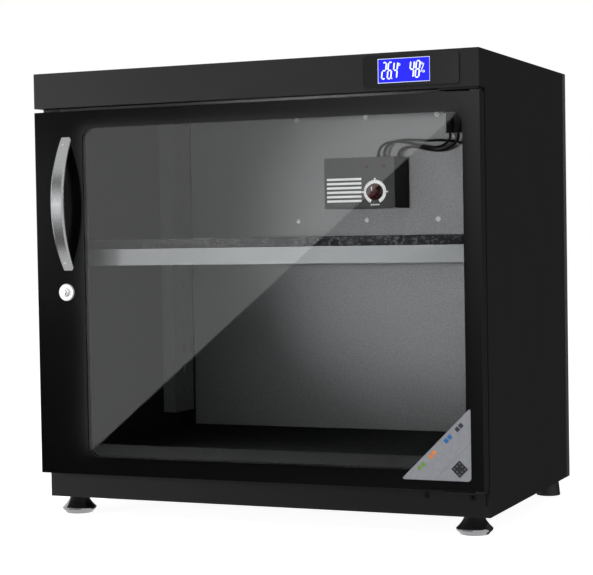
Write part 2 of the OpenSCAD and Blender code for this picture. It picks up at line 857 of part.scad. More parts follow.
// Screws that hold the back panel and the rear feet
module case_screws() {
    color("#3a3a3c") for (side = [-1, 1]) {
        for (z = case_screw_z()) {
            rod_y(side * case_screw_x(), back_y, back_y + small_head_h / 2, z, small_head_d);
            rod_y(side * case_screw_x(), wall_y - 4 * sheet_t, back_y, z, small_screw_d);
        }
        x = side * (half_w - rear_foot_x);
        rod_z(x, back_y - rear_foot_y, foot_h / 3 - small_head_h, foot_h / 3, small_head_d);
        rod_z(x, back_y - rear_foot_y, foot_h / 3, foot_h + 2 * sheet_t, small_screw_d);
    }
}

module socket_block() {
    x = (plug_a_x + plug_b_x) / 2;
    color("#141416") block([x - socket_w / 2, plug_y - socket_d / 2, plug_z + plug_h],
        [x + socket_w / 2, plug_y + socket_d / 2, ceil_z]);
}

module dc_inlet() {
    rim_w = inlet_w + 2 * inlet_rim;
    rim_h = inlet_h + 2 * inlet_rim;
    color("#101012") difference() {
        union() {
            block([inlet_x - rim_w / 2, back_y, inlet_z - rim_h / 2],
                [inlet_x + rim_w / 2, back_y + inlet_rim, inlet_z + rim_h / 2]);
            block([inlet_x - inlet_w / 2, back_y - inlet_depth, inlet_z - inlet_h / 2],
                [inlet_x + inlet_w / 2, back_y + inlet_rim / 2, inlet_z + inlet_h / 2]);
        }
        rod_y(inlet_x, back_y + inlet_rim - inlet_bore_depth, back_y + inlet_rim + over, inlet_z,
            inlet_bore_d);
    }
}

function tongue_x() = pin_x + tongue_right - tongue_w;
function hinge_screw_x() = [tongue_x() + tongue_screw_left, pin_x - tongue_screw_right];
function upper_screw_y() = door_y + tongue_reach - tongue_screw_back;
function lower_screw_x() = [half_w - bracket_screw_right - bracket_pitch, half_w - bracket_screw_right];
function lower_screw_z() = door_z - bracket_screw_drop;

module upper_hinge_bracket() {
    z = header_z - bracket_t;
    color("#35363a") difference() {
        union() {
            block([tongue_x(), door_y + tongue_front, z],
                [tongue_x() + tongue_w, door_y + tongue_reach, header_z]);
            rod_z(pin_x, pin_y, door_top - pin_len, header_z - bracket_t / 2, pin_d);
        }
        for (x = hinge_screw_x()) {
            flat_hole_z(x, upper_screw_y(), z);
        }
    }
}

// Countersunk hole along Z, with its wide mouth below
module flat_hole_z(x, y, z) {
    translate([x, y, z]) {
        cylinder(d1 = screw_head_d + hole_play, d2 = screw_d + hole_play, h = flat_head_h);
        translate([0, 0, -over]) cylinder(d = screw_d + hole_play, h = bracket_t + 2 * over);
    }
}

// Countersunk screw, with its head at the origin and its shank along Z
module flat_screw() {
    cylinder(d1 = screw_head_d, d2 = screw_d, h = flat_head_h);
    cylinder(d = screw_d, h = screw_len);
}

module lower_hinge_bracket() {
    top = door_z - bush_flange_t;
    right = half_w - bracket_right;
    color("#35363a") difference() {
        union() {
            block([right - bracket_w, body_y - bracket_t, top - bracket_h], [right, body_y, top]);
            block([tongue_x(), door_y + tongue_front, top - bracket_t],
                [tongue_x() + tongue_w, body_y, top]);
            rod_z(pin_x, pin_y, top - bracket_t / 2, door_z + pin_len, pin_d);
        }
        for (x = lower_screw_x()) {
            translate([x, body_y - bracket_t, lower_screw_z()]) rotate([-90, 0, 0])
                flat_hole_z(0, 0, 0);
        }
    }
}

module hinge_screws() {
    color("#3a3a3c") {
        for (x = lower_screw_x()) {
            translate([x, body_y - bracket_t, lower_screw_z()]) rotate([-90, 0, 0]) flat_screw();
        }
        for (x = hinge_screw_x()) {
            translate([x, upper_screw_y(), header_z - bracket_t]) flat_screw();
        }
    }
}

// Tapered rubber foot under the left rear corner
module rear_foot() {
    x = -half_w + rear_foot_x;
    y = back_y - rear_foot_y;
    difference() {
        translate([x, y, 0]) cylinder(d1 = rear_foot_d, d2 = rear_foot_top_d, h = foot_h);
        rod_z(x, y, -over, foot_h / 3, small_head_d + hole_play);
        rod_z(x, y, 0, foot_h + over, small_screw_d + hole_play);
    }
}

module rear_foot_left() {
    color("#161617") rear_foot();
}

module rear_foot_right() {
    color("#161617") mirror([1, 0, 0]) rear_foot();
}

module foot_nuts() {
    color("silver") for (side = [-1, 1]) {
        translate([side * (half_w - foot_x), body_y + foot_y, foot_h + sheet_t]) difference() {
            cylinder(d = nut_af / cos(30), h = nut_h, $fn = 6);
            translate([0, 0, -over]) cylinder(d = stud_d + run_play, h = nut_h + 2 * over);
        }
    }
}

// Turned foot with a chromed rim on a threaded stud, under the left front corner
module front_foot() {
    neck_h = 0.6;
    translate([-half_w + foot_x, body_y + foot_y, 0]) {
        rotate_extrude() polygon([[0, 0], [foot_base_d / 2, 0], [foot_d / 2 - foot_rim_t, foot_rim_z / 2],
            [foot_d / 2, foot_rim_z - foot_rim_t], [foot_d / 2, foot_rim_z],
            [foot_neck_d / 2, foot_h - neck_h], [0, foot_h - neck_h]]);
        cylinder(d = stud_d, h = foot_h + stud_top);
    }
}

module front_foot_left() {
    color("#55565a") front_foot();
}

module front_foot_right() {
    color("#55565a") mirror([1, 0, 0]) front_foot();
}

function unit(v) = v / norm(v);

// Point on the smooth curve between two points of a route
function curve_point(a, b, c, d, t) = 0.5 * (2 * b + (c - a) * t + (2 * a - 5 * b + 4 * c - d) * t * t
    + (3 * b - a - 3 * c + d) * t * t * t);

// Route with extra points on a smooth curve through its own
function smooth(p, n) = let (last = len(p) - 1) [for (i = [0 : last - 1], k = [0 : n - 1])
    curve_point(p[max(i - 1, 0)], p[i], p[i + 1], p[min(i + 2, last)], k / n), p[last]];

// Direction of the route at a point
function heading(p, i) = unit(p[min(i + 1, len(p) - 1)] - p[max(i - 1, 0)]);

// Ring of corners around a point of the route
function ring(p, i, r, n) = let (t = heading(p, i), u = unit(cross(t, [0, 1, 0])), v = cross(t, u))
    [for (k = [0 : n - 1]) p[i] + r * (cos(360 * k / n) * u + sin(360 * k / n) * v)];

// Round tube along a way that is measured from the back wall and the ceiling
module tube(way, d, n) {
    p = smooth([for (q = way) [q[0], wall_y - q[1], ceil_z - q[2]]], lead_steps);
    last = len(p) - 1;
    corners = [for (i = [0 : last]) each ring(p, i, d / 2, n)];
    walls = [for (i = [0 : last - 1], k = [0 : n - 1]) let (a = i * n + k, b = i * n + (k + 1) % n)
        each [[a, b, b + n], [a, b + n, a + n]]];
    ends = [[for (k = [n - 1 : -1 : 0]) k], [for (k = [0 : n - 1]) last * n + k]];
    polyhedron(points = corners, faces = concat(walls, ends));
}

module control_lead_a() {
    color("#0e0e10") tube(way_a, lead_d, lead_sides);
}

module control_lead_b() {
    color("#0e0e10") tube(way_b, lead_d, lead_sides);
}

module sensor_lead() {
    color("#0e0e10") tube(way_c, lead_d, lead_sides);
}

module lead_plug_a() {
    color("#0c0c0e") block([plug_a_x - plug_a_w / 2, plug_y - plug_d / 2, plug_z],
        [plug_a_x + plug_a_w / 2, plug_y + plug_d / 2, plug_z + plug_h]);
}

module lead_plug_b() {
    color("#0c0c0e") block([plug_b_x - plug_b_w / 2, plug_y - plug_d / 2, plug_z],
        [plug_b_x + plug_b_w / 2, plug_y + plug_d / 2, plug_z + plug_h]);
}

module humidity_sensor() {
    slot = sensor_h / 10;
    front = wall_y - sensor_d;
    color("#1a1a1c") difference() {
        block([sensor_x - sensor_w / 2, front, sensor_z],
            [sensor_x + sensor_w / 2, wall_y, sensor_z + sensor_h]);
        for (i = [1 : 3]) {
            z = sensor_z + sensor_h - 2 * i * slot;
            block([sensor_x - sensor_w / 3, front - over, z],
                [sensor_x + sensor_w / 3, front + slot, z + slot]);
        }
    }
}

module door_frame() {
    color("#131416") difference() {
        block([-half_w, door_y, door_z], [half_w, door_y + door_t, door_top]);
        block([-wall_x, door_y + sheet_t, door_z + sheet_t],
            [wall_x, door_y + door_t + over, door_top - sheet_t]);
        window_plate(door_y - over, door_y + sheet_t + over, 0);
        rod_y(lock_cx, door_y - over, door_y + sheet_t + over, lock_cz, lock_barrel_d + hole_play);
        for (z = [-1, 1] * handle_post_z) {
            rod_y(handle_cx, door_y - over, door_y + sheet_t + over, handle_cz + z, screw_d + hole_play);
        }
        rod_z(pin_x, pin_y, door_z - over, door_z + sheet_t + over, bush_d);
        rod_z(pin_x, pin_y, door_top - sheet_t - over, door_top + over, bush_d);
    }
}

module door_glass() {
    color("#9fb4bd", 0.35) window_plate(glass_y, glazing_y, glass_lap);
}

module glazing_seal() {
    color("#151517") difference() {
        window_plate(glazing_y, liner_lip_y, glazing_w);
        window_plate(glazing_y - over, liner_lip_y + over, liner_lap / 2);
    }
}

module door_liner() {
    y1 = door_y + door_t;
    color("#1b1c1e") difference() {
        union() {
            block([-wall_x + seam / 2, y1 - sheet_t, door_z + sheet_t + seam / 2],
                [wall_x - seam / 2, y1, door_top - sheet_t - seam / 2]);
            window_plate(liner_lip_y, y1, liner_lap + sheet_t);
        }
        window_plate(liner_lip_y - over, y1 + over, liner_lap);
        rod_y(lock_cx, y1 - sheet_t - over, y1 + over, lock_cz, lock_barrel_d + hole_play);
    }
}

module door_gasket() {
    y = door_y + door_t;
    outer_w = cab_w - 2 * seal_inset;
    outer_h = door_h - 2 * seal_inset;
    cz = door_z + door_h / 2;
    color("#111113") difference() {
        upright_plate(0, cz, y, body_y, outer_w, outer_h, seal_w / 2);
        block([-outer_w / 2 + seal_w, y - over, cz - outer_h / 2 + seal_w],
            [outer_w / 2 - seal_w, body_y + over, cz + outer_h / 2 - seal_w]);
    }
}

// Bow of the handle: a strip of a large ring, wider at its middle, on two short posts
module handle_bow() {
    centre_y = door_y - handle_out + handle_r;
    color("#c4c6c9") difference() {
        union() {
            intersection() {
                translate([handle_cx - handle_w / 2, centre_y, handle_cz]) rotate([0, 90, 0]) difference() {
                    cylinder(r = handle_r, h = handle_w, $fn = 128);
                    translate([0, 0, -over])
                        cylinder(r = handle_r - handle_t, h = handle_w + 2 * over, $fn = 128);
                }
                block([handle_cx - handle_w, door_y - handle_out - over, handle_cz - handle_len],
                    [handle_cx + handle_w, door_y, handle_cz + handle_len]);
                for (side = [-1, 1]) {
                    rod_y(handle_cx - side * (handle_side_r - handle_w / 2), door_y - handle_out - over,
                        door_y + over, handle_cz, 2 * handle_side_r);
                }
            }
            for (z = [-1, 1] * handle_post_z) {
                rod_y(handle_cx, door_y - handle_post_out, door_y, handle_cz + z, handle_post_d);
            }
        }
        for (z = [-1, 1] * handle_post_z) {
            rod_y(handle_cx, door_y - handle_post_out + sheet_t, door_y + over, handle_cz + z,
                screw_d + run_play);
        }
    }
}

module handle_screws() {
    color("silver") for (z = [-1, 1] * handle_post_z) {
        rod_y(handle_cx, glass_y, glass_y + screw_head_h, handle_cz + z, screw_head_d);
        rod_y(handle_cx, door_y - handle_post_out + 2 * sheet_t, glass_y, handle_cz + z, screw_d);
    }
}

module lock_housing() {
    color("#c8cacd") difference() {
        union() {
            rod_y(lock_cx, door_y - lock_head_t, door_y, lock_cz, lock_head_d);
            rod_y(lock_cx, door_y, cam_y - seam, lock_cz, lock_barrel_d);
        }
        rod_y(lock_cx, door_y - lock_head_t - over, cam_y + over, lock_cz, lock_plug_d + run_play);
    }
}

module lock_nut() {
    color("silver") difference() {
        translate([lock_cx, glass_y, lock_cz]) rotate([-90, 30, 0])
            cylinder(d = lock_nut_d, h = lock_nut_t, $fn = 6);
        rod_y(lock_cx, glass_y - over, glass_y + lock_nut_t + over, lock_cz, lock_barrel_d + run_play);
    }
}

module lock_plug() {
    y = door_y - lock_head_t - lock_plug_out;
    color("#b4b6ba") difference() {
        union() {
            rod_y(lock_cx, y, cam_y, lock_cz, lock_plug_d);
            rod_y(lock_cx, cam_y - over, cam_y + cam_t, lock_cz, cam_spigot_d);
            rod_y(lock_cx, cam_y + cam_t, cam_y + 2 * cam_t, lock_cz, cam_screw_d);
        }
        block([lock_cx - key_slot_w / 2, y - over, lock_cz - key_slot_h / 2],
            [lock_cx + key_slot_w / 2, y + key_slot_depth, lock_cz + key_slot_h / 2]);
    }
}

module lock_cam() {
    color("silver") difference() {
        union() {
            rod_y(lock_cx, cam_y, cam_y + cam_t, lock_cz, cam_hub_d);
            block([lock_cx - cam_w / 2, cam_y, lock_cz - cam_len],
                [lock_cx + cam_w / 2, cam_y + cam_t, lock_cz]);
        }
        rod_y(lock_cx, cam_y - over, cam_y + cam_t + over, lock_cz, cam_spigot_d + run_play);
    }
}

module hinge_bushes() {
    color("#d8d6cf") {
        difference() {
            union() {
                rod_z(pin_x, pin_y, door_z - bush_flange_t, door_z, bush_flange_d);
                rod_z(pin_x, pin_y, door_z, door_z + pin_len + sheet_t, bush_d - seam / 2);
            }
            rod_z(pin_x, pin_y, door_z - bush_flange_t - over, door_z + pin_len + run_play,
                pin_d + run_play);
        }
        difference() {
            union() {
                rod_z(pin_x, pin_y, door_top, door_top + upper_bush_flange_t, bush_flange_d);
                rod_z(pin_x, pin_y, door_top - pin_len - sheet_t, door_top, bush_d - seam / 2);
            }
            rod_z(pin_x, pin_y, door_top - pin_len - run_play, door_top + upper_bush_flange_t + over,
                pin_d + run_play);
        }
    }
}

// Flat triangle with round corners
module corner_label() {
    right = half_w - label_right;
    low = door_z + label_rise;
    color("#b9bcc6") translate([0, door_y, 0]) rotate([90, 0, 0]) linear_extrude(label_t) hull() {
        for (p = [[right - label_side + label_r, low + label_r], [right - label_r, low + label_r],
                [right - label_r, low + label_side - label_r]]) {
            translate(p) circle(r = label_r, $fn = 32);
        }
    }
}

module dial_knob() {
    y1 = box_y - knob_gap;
    grip_d = knob_d * knob_grip_share;
    color("#2a1214") {
        rod_y(dial_cx, y1 - knob_h / 4, y1, dial_cz, knob_d);
        rod_y(dial_cx, y1 - knob_h, y1 - knob_h / 4, dial_cz, grip_d);
        rod_y(dial_cx, y1, box_y + board_y_gap() - 2 * pot_end_t, dial_cz, shaft_d);
    }
}

module shelf_tray() {
    top = shelf_z + shelf_lip_h;
    y0 = shelf_y + trim_t;
    y1 = shelf_y + shelf_d;
    half = shelf_w / 2;
    color("#3c3d40") {
        block([-half, y0, top - sheet_t], [half, y1, top]);
        block([-half, y0, shelf_z], [half, y0 + sheet_t, top]);
        block([-half, y1 - sheet_t, top - shelf_side_h], [half, y1, top]);
        for (side = [-1, 1]) {
            x = side * (half - sheet_t / 2);
            block([x - sheet_t / 2, y0, shelf_z], [x + sheet_t / 2, y1, top]);
        }
    }
}

module shelf_front_trim() {
    half = shelf_w / 2;
    color("#c5c7c9") {
        block([-half, shelf_y, shelf_z], [half, shelf_y + trim_t, shelf_z + shelf_lip_h]);
        block([-half, shelf_y, shelf_z - trim_t], [half, shelf_y + trim_lap, shelf_z]);
    }
}

module shelf_mat() {
    color("#4a4b4e") block([-shelf_w / 2, shelf_y, shelf_z + shelf_lip_h],
        [shelf_w / 2, shelf_y + shelf_d, shelf_z + shelf_lip_h + shelf_mat_t]);
}

left_side_panel();
right_side_panel();
back_panel();
floor_panel();
front_rail();
ceiling_panel();
top_cover();
floor_mat();
shelf_post_front_left();
shelf_post_front_right();
shelf_post_rear_left();
shelf_post_rear_right();
shelf_clips();
display_bezel();
lcd_module();
display_board();
control_box();
control_faceplate();
status_lamps();
potentiometer();
control_board();
cooling_tile();
cold_sink();
hot_sink();
rear_vent_cover();
module_screws();
case_screws();
socket_block();
dc_inlet();
upper_hinge_bracket();
lower_hinge_bracket();
hinge_screws();
rear_foot_left();
rear_foot_right();
foot_nuts();
control_lead_a();
control_lead_b();
sensor_lead();
lead_plug_a();
lead_plug_b();
humidity_sensor();
door_frame();
door_glass();
glazing_seal();
door_liner();
door_gasket();
handle_bow();
handle_screws();
lock_housing();
lock_nut();
hinge_bushes();
corner_label();
lock_plug();
lock_cam();
dial_knob();
front_foot_left();
front_foot_right();
shelf_tray();
shelf_front_trim();
shelf_mat();
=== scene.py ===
import math
import bmesh
import bpy
from mathutils import Matrix, Vector


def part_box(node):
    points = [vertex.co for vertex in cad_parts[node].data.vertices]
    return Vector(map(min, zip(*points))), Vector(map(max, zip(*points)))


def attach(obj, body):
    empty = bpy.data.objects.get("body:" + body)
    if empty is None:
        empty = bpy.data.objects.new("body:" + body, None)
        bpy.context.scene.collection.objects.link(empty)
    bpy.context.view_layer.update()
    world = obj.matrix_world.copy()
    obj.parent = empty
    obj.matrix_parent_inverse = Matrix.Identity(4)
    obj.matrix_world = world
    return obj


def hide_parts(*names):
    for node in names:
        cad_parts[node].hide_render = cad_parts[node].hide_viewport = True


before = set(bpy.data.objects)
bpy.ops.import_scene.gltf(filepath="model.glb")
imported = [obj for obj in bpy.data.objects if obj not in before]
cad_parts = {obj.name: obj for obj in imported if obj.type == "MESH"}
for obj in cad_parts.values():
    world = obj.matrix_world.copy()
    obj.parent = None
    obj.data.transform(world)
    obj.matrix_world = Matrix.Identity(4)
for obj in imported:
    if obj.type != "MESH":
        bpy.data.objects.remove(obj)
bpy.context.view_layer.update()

# Camera
# It stands to the right of the door, a little below the cabinet's middle, and looks
# slightly to the left, as in the photograph.
camera_place = Vector((0.7102, -1.6806, 0.2878))
camera_heading = math.radians(-23.42)
camera_pitch = math.radians(-1.88)
camera_roll = math.radians(-0.97)
camera_sight = Vector((math.sin(camera_heading) * math.cos(camera_pitch),
                       math.cos(camera_heading) * math.cos(camera_pitch),
                       math.sin(camera_pitch)))
level_right = Vector((math.cos(camera_heading), -math.sin(camera_heading), 0))
level_up = level_right.cross(camera_sight)
camera_right = math.cos(camera_roll) * level_right + math.sin(camera_roll) * level_up
camera_up = camera_right.cross(camera_sight)
bpy.ops.object.camera_add(location=camera_place)
camera = bpy.context.object
camera.matrix_world = Matrix.Translation(camera_place) @ Matrix(
    (camera_right, camera_up, -camera_sight)).transposed().to_4x4()
camera.data.sensor_width = 36
camera.data.lens = 103.81
camera.data.shift_x = 0.0054
camera.data.shift_y = 0.0084
bpy.context.scene.camera = camera

# Leads
# Three round PVC leads leave the top of the control box. Two end in plugs under the ceiling,
# and the third goes into the humidity sensor on the right. Each way is given in millimetres
# by X, the distance in front of the back wall and the distance below the ceiling.
wall_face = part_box("control_box")[1].y
ceiling_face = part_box("socket_block")[1].z
lead_thick = 0.003
lead_ways = {
    "control_lead_a": [
        (30, 21.3, 52), (30, 21.3, 46), (33, 21.3, 40), (39, 20.8, 36), (48, 20.3, 34.5),
        (60, 20.3, 35.5), (72, 20.8, 38), (84, 21.3, 41), (95, 20.8, 42.5), (104, 19.3, 41),
        (110.5, 17.8, 37), (113.5, 16.8, 32), (113.5, 16.8, 27)],
    "control_lead_b": [
        (50, 10.3, 52), (50, 10.3, 48), (53, 11.3, 44), (60, 12.8, 41), (70, 14.3, 40.5),
        (82, 15.3, 43), (94, 16.3, 45.5), (105, 16.8, 45.5), (114, 16.8, 42.5),
        (120.5, 16.8, 37.5), (123, 16.8, 32), (123, 16.8, 27)],
    "sensor_lead": [
        (35, 15.3, 52), (35, 15.3, 45), (38, 14.8, 39), (45, 13.8, 34.5), (56, 12.3, 32.5),
        (70, 10.8, 33), (84, 10.3, 34), (98, 9.8, 34), (112, 9.3, 35.5), (126, 9.3, 38),
        (142, 9.3, 40), (158, 9.3, 40.5), (174, 9.8, 39), (186, 10.3, 38), (194, 10.3, 38)],
}
lead_points = {node: [Vector((x / 1000, wall_face - back / 1000, ceiling_face - drop / 1000))
                      for x, back, drop in way] for node, way in lead_ways.items()}


def shader_of(finish):
    return finish.node_tree.nodes["Principled BSDF"]


def new_finish(name, colour, roughness, metallic=0.0):
    """A material with one Principled shader at plain values."""
    finish = bpy.data.materials.new(name)
    finish.use_nodes = True
    shader = shader_of(finish)
    shader.inputs["Base Color"].default_value = (*colour, 1)
    shader.inputs["Roughness"].default_value = roughness
    shader.inputs["Metallic"].default_value = metallic
    finish.diffuse_color = (*colour, 1)
    return finish


def new_effect(name, inputs, outputs):
    """An empty shader group with named sockets, its inputs by name and its end node."""
    effect = bpy.data.node_groups.new(name, "ShaderNodeTree")
    for label, kind, value in inputs:
        socket = effect.interface.new_socket(label, in_out="INPUT", socket_type=kind)
        socket.default_value = value
    for label, kind in outputs:
        effect.interface.new_socket(label, in_out="OUTPUT", socket_type=kind)
    start = effect.nodes.new("NodeGroupInput")
    return effect, start.outputs, effect.nodes.new("NodeGroupOutput")


NUMBER, COLOUR, VECTOR = "NodeSocketFloat", "NodeSocketColor", "NodeSocketVector"


def feed(tree, socket, value):
    """Gives a socket a number or a colour, or links another node's output to it."""
    if isinstance(value, (int, float)):
        socket.default_value = value
    elif isinstance(value, tuple):
        socket.default_value = (*value, 1)
    else:
        tree.links.new(value, socket)


def place_node(tree):
    return tree.nodes.new("ShaderNodeTexCoord").outputs["Object"]


def noise_node(tree, scale, detail, vector):
    node = tree.nodes.new("ShaderNodeTexNoise")
    feed(tree, node.inputs["Detail"], detail)
    feed(tree, node.inputs["Scale"], scale)
    feed(tree, node.inputs["Vector"], vector)
    return node.outputs["Fac"]


def stretch_node(tree, value, low, high, out_low=0.0, out_high=1.0):
    """Maps the range low to high of a value to another range, and clamps it."""
    node = tree.nodes.new("ShaderNodeMapRange")
    for label, number in (("From Min", low), ("From Max", high), ("To Min", out_low),
                          ("To Max", out_high), ("Value", value)):
        feed(tree, node.inputs[label], number)
    return node.outputs["Result"]


def math_node(tree, operation, first, second):
    node = tree.nodes.new("ShaderNodeMath")
    node.operation = operation
    feed(tree, node.inputs[0], first)
    feed(tree, node.inputs[1], second)
    return node.outputs["Value"]


def mix_node(tree, amount, first, second):
    """A mix of two colours."""
    node = tree.nodes.new("ShaderNodeMix")
    node.data_type = "RGBA"
    for index, value in ((0, amount), (6, first), (7, second)):
        feed(tree, node.inputs[index], value)
    return node.outputs[2]


def drift(tree, value, inputs):
    """A group's Roughness input, moved up and down by a value around one half."""
    shift = math_node(tree, "MULTIPLY", math_node(tree, "SUBTRACT", value, 0.5),
                      inputs["Roughness Change"])
    return math_node(tree, "ADD", shift, inputs["Roughness"])


def close_effect(effect, end, colour, roughness, height):
    """Links a group's three results to its outputs."""
    for label, value in (("Colour", colour), ("Roughness", roughness), ("Height", height)):
        effect.links.new(value, end.inputs[label])


# Fine grain: small light flecks, slow patches of gloss and a height for the bump
grain, grain_in, grain_out = new_effect(
    "fine grain",
    [("Colour", COLOUR, (0.1, 0.1, 0.1, 1)), ("Fleck", COLOUR, (0.2, 0.2, 0.2, 1)),
     ("Scale", NUMBER, 900.0), ("Fleck Start", NUMBER, 0.45), ("Fleck End", NUMBER, 0.65),
     ("Roughness", NUMBER, 0.5), ("Roughness Change", NUMBER, 0.1)],
    [("Colour", COLOUR), ("Roughness", NUMBER), ("Height", NUMBER)])
grain_place = place_node(grain)
grain_small = noise_node(grain, grain_in["Scale"], 2.0, grain_place)
grain_patch = noise_node(grain, 14.0, 3.0, grain_place)
grain_fleck = stretch_node(grain, grain_small, grain_in["Fleck Start"], grain_in["Fleck End"])
close_effect(grain, grain_out, mix_node(grain, grain_fleck, grain_in["Colour"], grain_in["Fleck"]),
             drift(grain, grain_patch, grain_in), grain_small)


def lay_effect(finish, effect, values, bump_distance):
    """Places a group in a material and feeds its colour, roughness and height to the shader."""
    tree = finish.node_tree
    shader = shader_of(finish)
    node = tree.nodes.new("ShaderNodeGroup")
    node.node_tree = effect
    for label, value in values.items():
        feed(tree, node.inputs[label], value)
    tree.links.new(node.outputs["Colour"], shader.inputs["Base Color"])
    tree.links.new(node.outputs["Roughness"], shader.inputs["Roughness"])
    bump = tree.nodes.new("ShaderNodeBump")
    bump.inputs["Distance"].default_value = bump_distance
    tree.links.new(node.outputs["Height"], bump.inputs["Height"])
    tree.links.new(bump.outputs["Normal"], shader.inputs["Normal"])
    return node


def grained(name, colour, fleck, scale, roughness, change, bump, metallic=0.0, flecks=(0.45, 0.65),
            sheen=0.5):
    """A fine-grained finish. Its flecks begin and end at two levels of the small noise."""
    finish = new_finish(name, colour, roughness, metallic)
    shader_of(finish).inputs["Specular IOR Level"].default_value = sheen
    lay_effect(finish, grain, {"Colour": colour, "Fleck": fleck, "Scale": scale,
                               "Fleck Start": flecks[0], "Fleck End": flecks[1],
                               "Roughness": roughness, "Roughness Change": change}, bump)
    return finish


lead_black = grained("lead PVC", (0.002, 0.002, 0.0022), (0.004, 0.004, 0.0044), 700, 0.38, 0.15,
                     0.00003, sheen=0.15)
plug_black = grained("plug plastic", (0.003, 0.003, 0.0035), (0.006, 0.006, 0.0065), 1500, 0.42,
                     0.1, 0.00005, sheen=0.15)


def clear_selection():
    bpy.ops.object.select_all(action="DESELECT")


def take(obj):
    """Makes one object the only selected one."""
    clear_selection()
    obj.select_set(True)
    bpy.context.view_layer.objects.active = obj


def settle(obj):
    """Puts the object's origin on the frame's, with its place in its mesh."""
    take(obj)
    bpy.ops.object.transform_apply(location=True, rotation=True, scale=True)
    return obj


def named(name, finish):
    """Names the object that was just added and gives it its material."""
    obj = bpy.context.object
    obj.name = name
    obj.data.name = name
    obj.data.materials.append(finish)
    return settle(obj)


def block(name, finish, low, high):
    clear_selection()
    low, high = Vector(low), Vector(high)
    bpy.ops.mesh.primitive_cube_add(size=1, location=(low + high) / 2, scale=high - low)
    return named(name, finish)


def open_mesh(obj):
    if bpy.context.mode != "EDIT_MESH":
        take(obj)
        bpy.ops.object.mode_set(mode="EDIT")


def pick(obj, test, kind="FACE"):
    """Opens the mesh and selects its faces, edges or corners by a test on place and direction."""
    open_mesh(obj)
    bpy.ops.mesh.select_mode(type=kind)
    bpy.ops.mesh.select_all(action="DESELECT")
    mesh = bmesh.from_edit_mesh(obj.data)
    if kind == "FACE":
        chosen = [face for face in mesh.faces if test(face.calc_center_median(), face.normal)]
    elif kind == "EDGE":
        chosen = [edge for edge in mesh.edges
                  if test((edge.verts[0].co + edge.verts[1].co) / 2,
                          (edge.verts[1].co - edge.verts[0].co).normalized())]
    else:
        chosen = [corner for corner in mesh.verts if test(corner.co, corner.normal)]
    for part in chosen:
        part.select_set(True)
    mesh.select_flush_mode()
    bmesh.update_edit_mesh(obj.data)


def close(obj, angle=35):
    """Leaves the mesh with its normals outwards and smooth shading up to an angle."""
    open_mesh(obj)
    bpy.ops.mesh.select_all(action="SELECT")
    bpy.ops.mesh.remove_doubles(threshold=0.000002)
    bpy.ops.mesh.normals_make_consistent(inside=False)
    bpy.ops.object.mode_set(mode="OBJECT")
    take(obj)
    bpy.ops.object.shade_smooth_by_angle(angle=math.radians(angle))
    return obj


def extrude(move):
    bpy.ops.mesh.extrude_region_move(TRANSFORM_OT_translate={"value": tuple(move)})


def turn_about(point, angle, axis):
    """The turn by an angle about a line through a point."""
    return (Matrix.Translation(point) @ Matrix.Rotation(angle, 4, axis)
            @ Matrix.Translation(-point))


def soft_edges(obj, width, segments, angle):
    """Rounds every edge that is sharper than an angle, and keeps the flat faces flat."""
    edges = obj.modifiers.new("edges", "BEVEL")
    edges.width = width
    edges.segments = segments
    edges.limit_method = "ANGLE"
    edges.angle_limit = math.radians(angle)
    edges.loop_slide = False
    shading = obj.modifiers.new("shading", "WEIGHTED_NORMAL")
    shading.weight = 80
    return edges, shading


def round_edges(obj, width, segments=2, angle=35):
    """Rounds a new piece's sharp edges in its mesh."""
    take(obj)
    bpy.ops.object.shade_smooth()
    for modifier in soft_edges(obj, width, segments, angle):
        bpy.ops.object.modifier_apply(modifier=modifier.name)
    return obj


axis_turn = {"X": (0, math.pi / 2, 0), "Y": (-math.pi / 2, 0, 0), "Z": (0, 0, 0)}
axis_way = {"X": Vector((1, 0, 0)), "Y": Vector((0, 1, 0)), "Z": Vector((0, 0, 1))}


def turned(name, finish, centre, axis, profile, sides=48):
    """A solid turned on a lathe. The profile lists distance along the axis and radius."""
    clear_selection()
    way = axis_way[axis]
    first, radius = profile[0]
    centre = Vector(centre)
    bpy.ops.mesh.primitive_circle_add(vertices=sides, radius=radius, fill_type="NGON",
                                      location=centre + way * first, rotation=axis_turn[axis])
    obj = named(name, finish)
    open_mesh(obj)
    bpy.ops.mesh.select_mode(type="FACE")
    bpy.ops.mesh.select_all(action="SELECT")
    place = first
    for distance, next_radius in profile[1:]:
        extrude(way * (distance - place))
        ratio = next_radius / radius
        size = [1 if part else ratio for part in way]
        bpy.ops.transform.resize(value=size, center_override=centre + way * distance)
        place, radius = distance, next_radius
    return close(obj)


def join(objects, name):
    """Joins finished pieces into the first one."""
    clear_selection()
    for obj in objects:
        obj.select_set(True)
    bpy.context.view_layer.objects.active = objects[0]
    bpy.ops.object.join()
    objects[0].name = name
    objects[0].data.name = name
    return objects[0]


def make_plug(name, node):
    """A moulded plug with rounded corners, and grip grooves near its lead end."""
    low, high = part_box(node)
    obj = block(name, plug_black, low, high)
    pick(obj, lambda place, way: abs(way.z) > 0.9, "EDGE")
    bpy.ops.mesh.bevel(offset=0.0022, segments=4, affect="EDGES")
    middle = (low + high) / 2
    groove_pitch = 0.0021
    for index in range(4):
        bottom = low.z + 0.002 + index * groove_pitch
        heights = (bottom, bottom + 0.0003, bottom + 0.0008, bottom + 0.0011)
        for height in heights:
            bpy.ops.mesh.select_all(action="SELECT")
            bpy.ops.mesh.bisect(plane_co=(0, 0, height), plane_no=(0, 0, 1))
        pick(obj, lambda place, way: heights[1] - 0.0001 < place.z < heights[2] + 0.0001, "VERT")
        bpy.ops.transform.resize(value=(0.86, 0.9, 1), center_override=middle)
    pick(obj, lambda place, way: way.z > 0.9)
    bpy.ops.mesh.inset(thickness=0.0008)
    extrude((0, 0, -0.0006))
    close(obj, 30)
    round_edges(obj, 0.0003, 2, 40)
    return obj


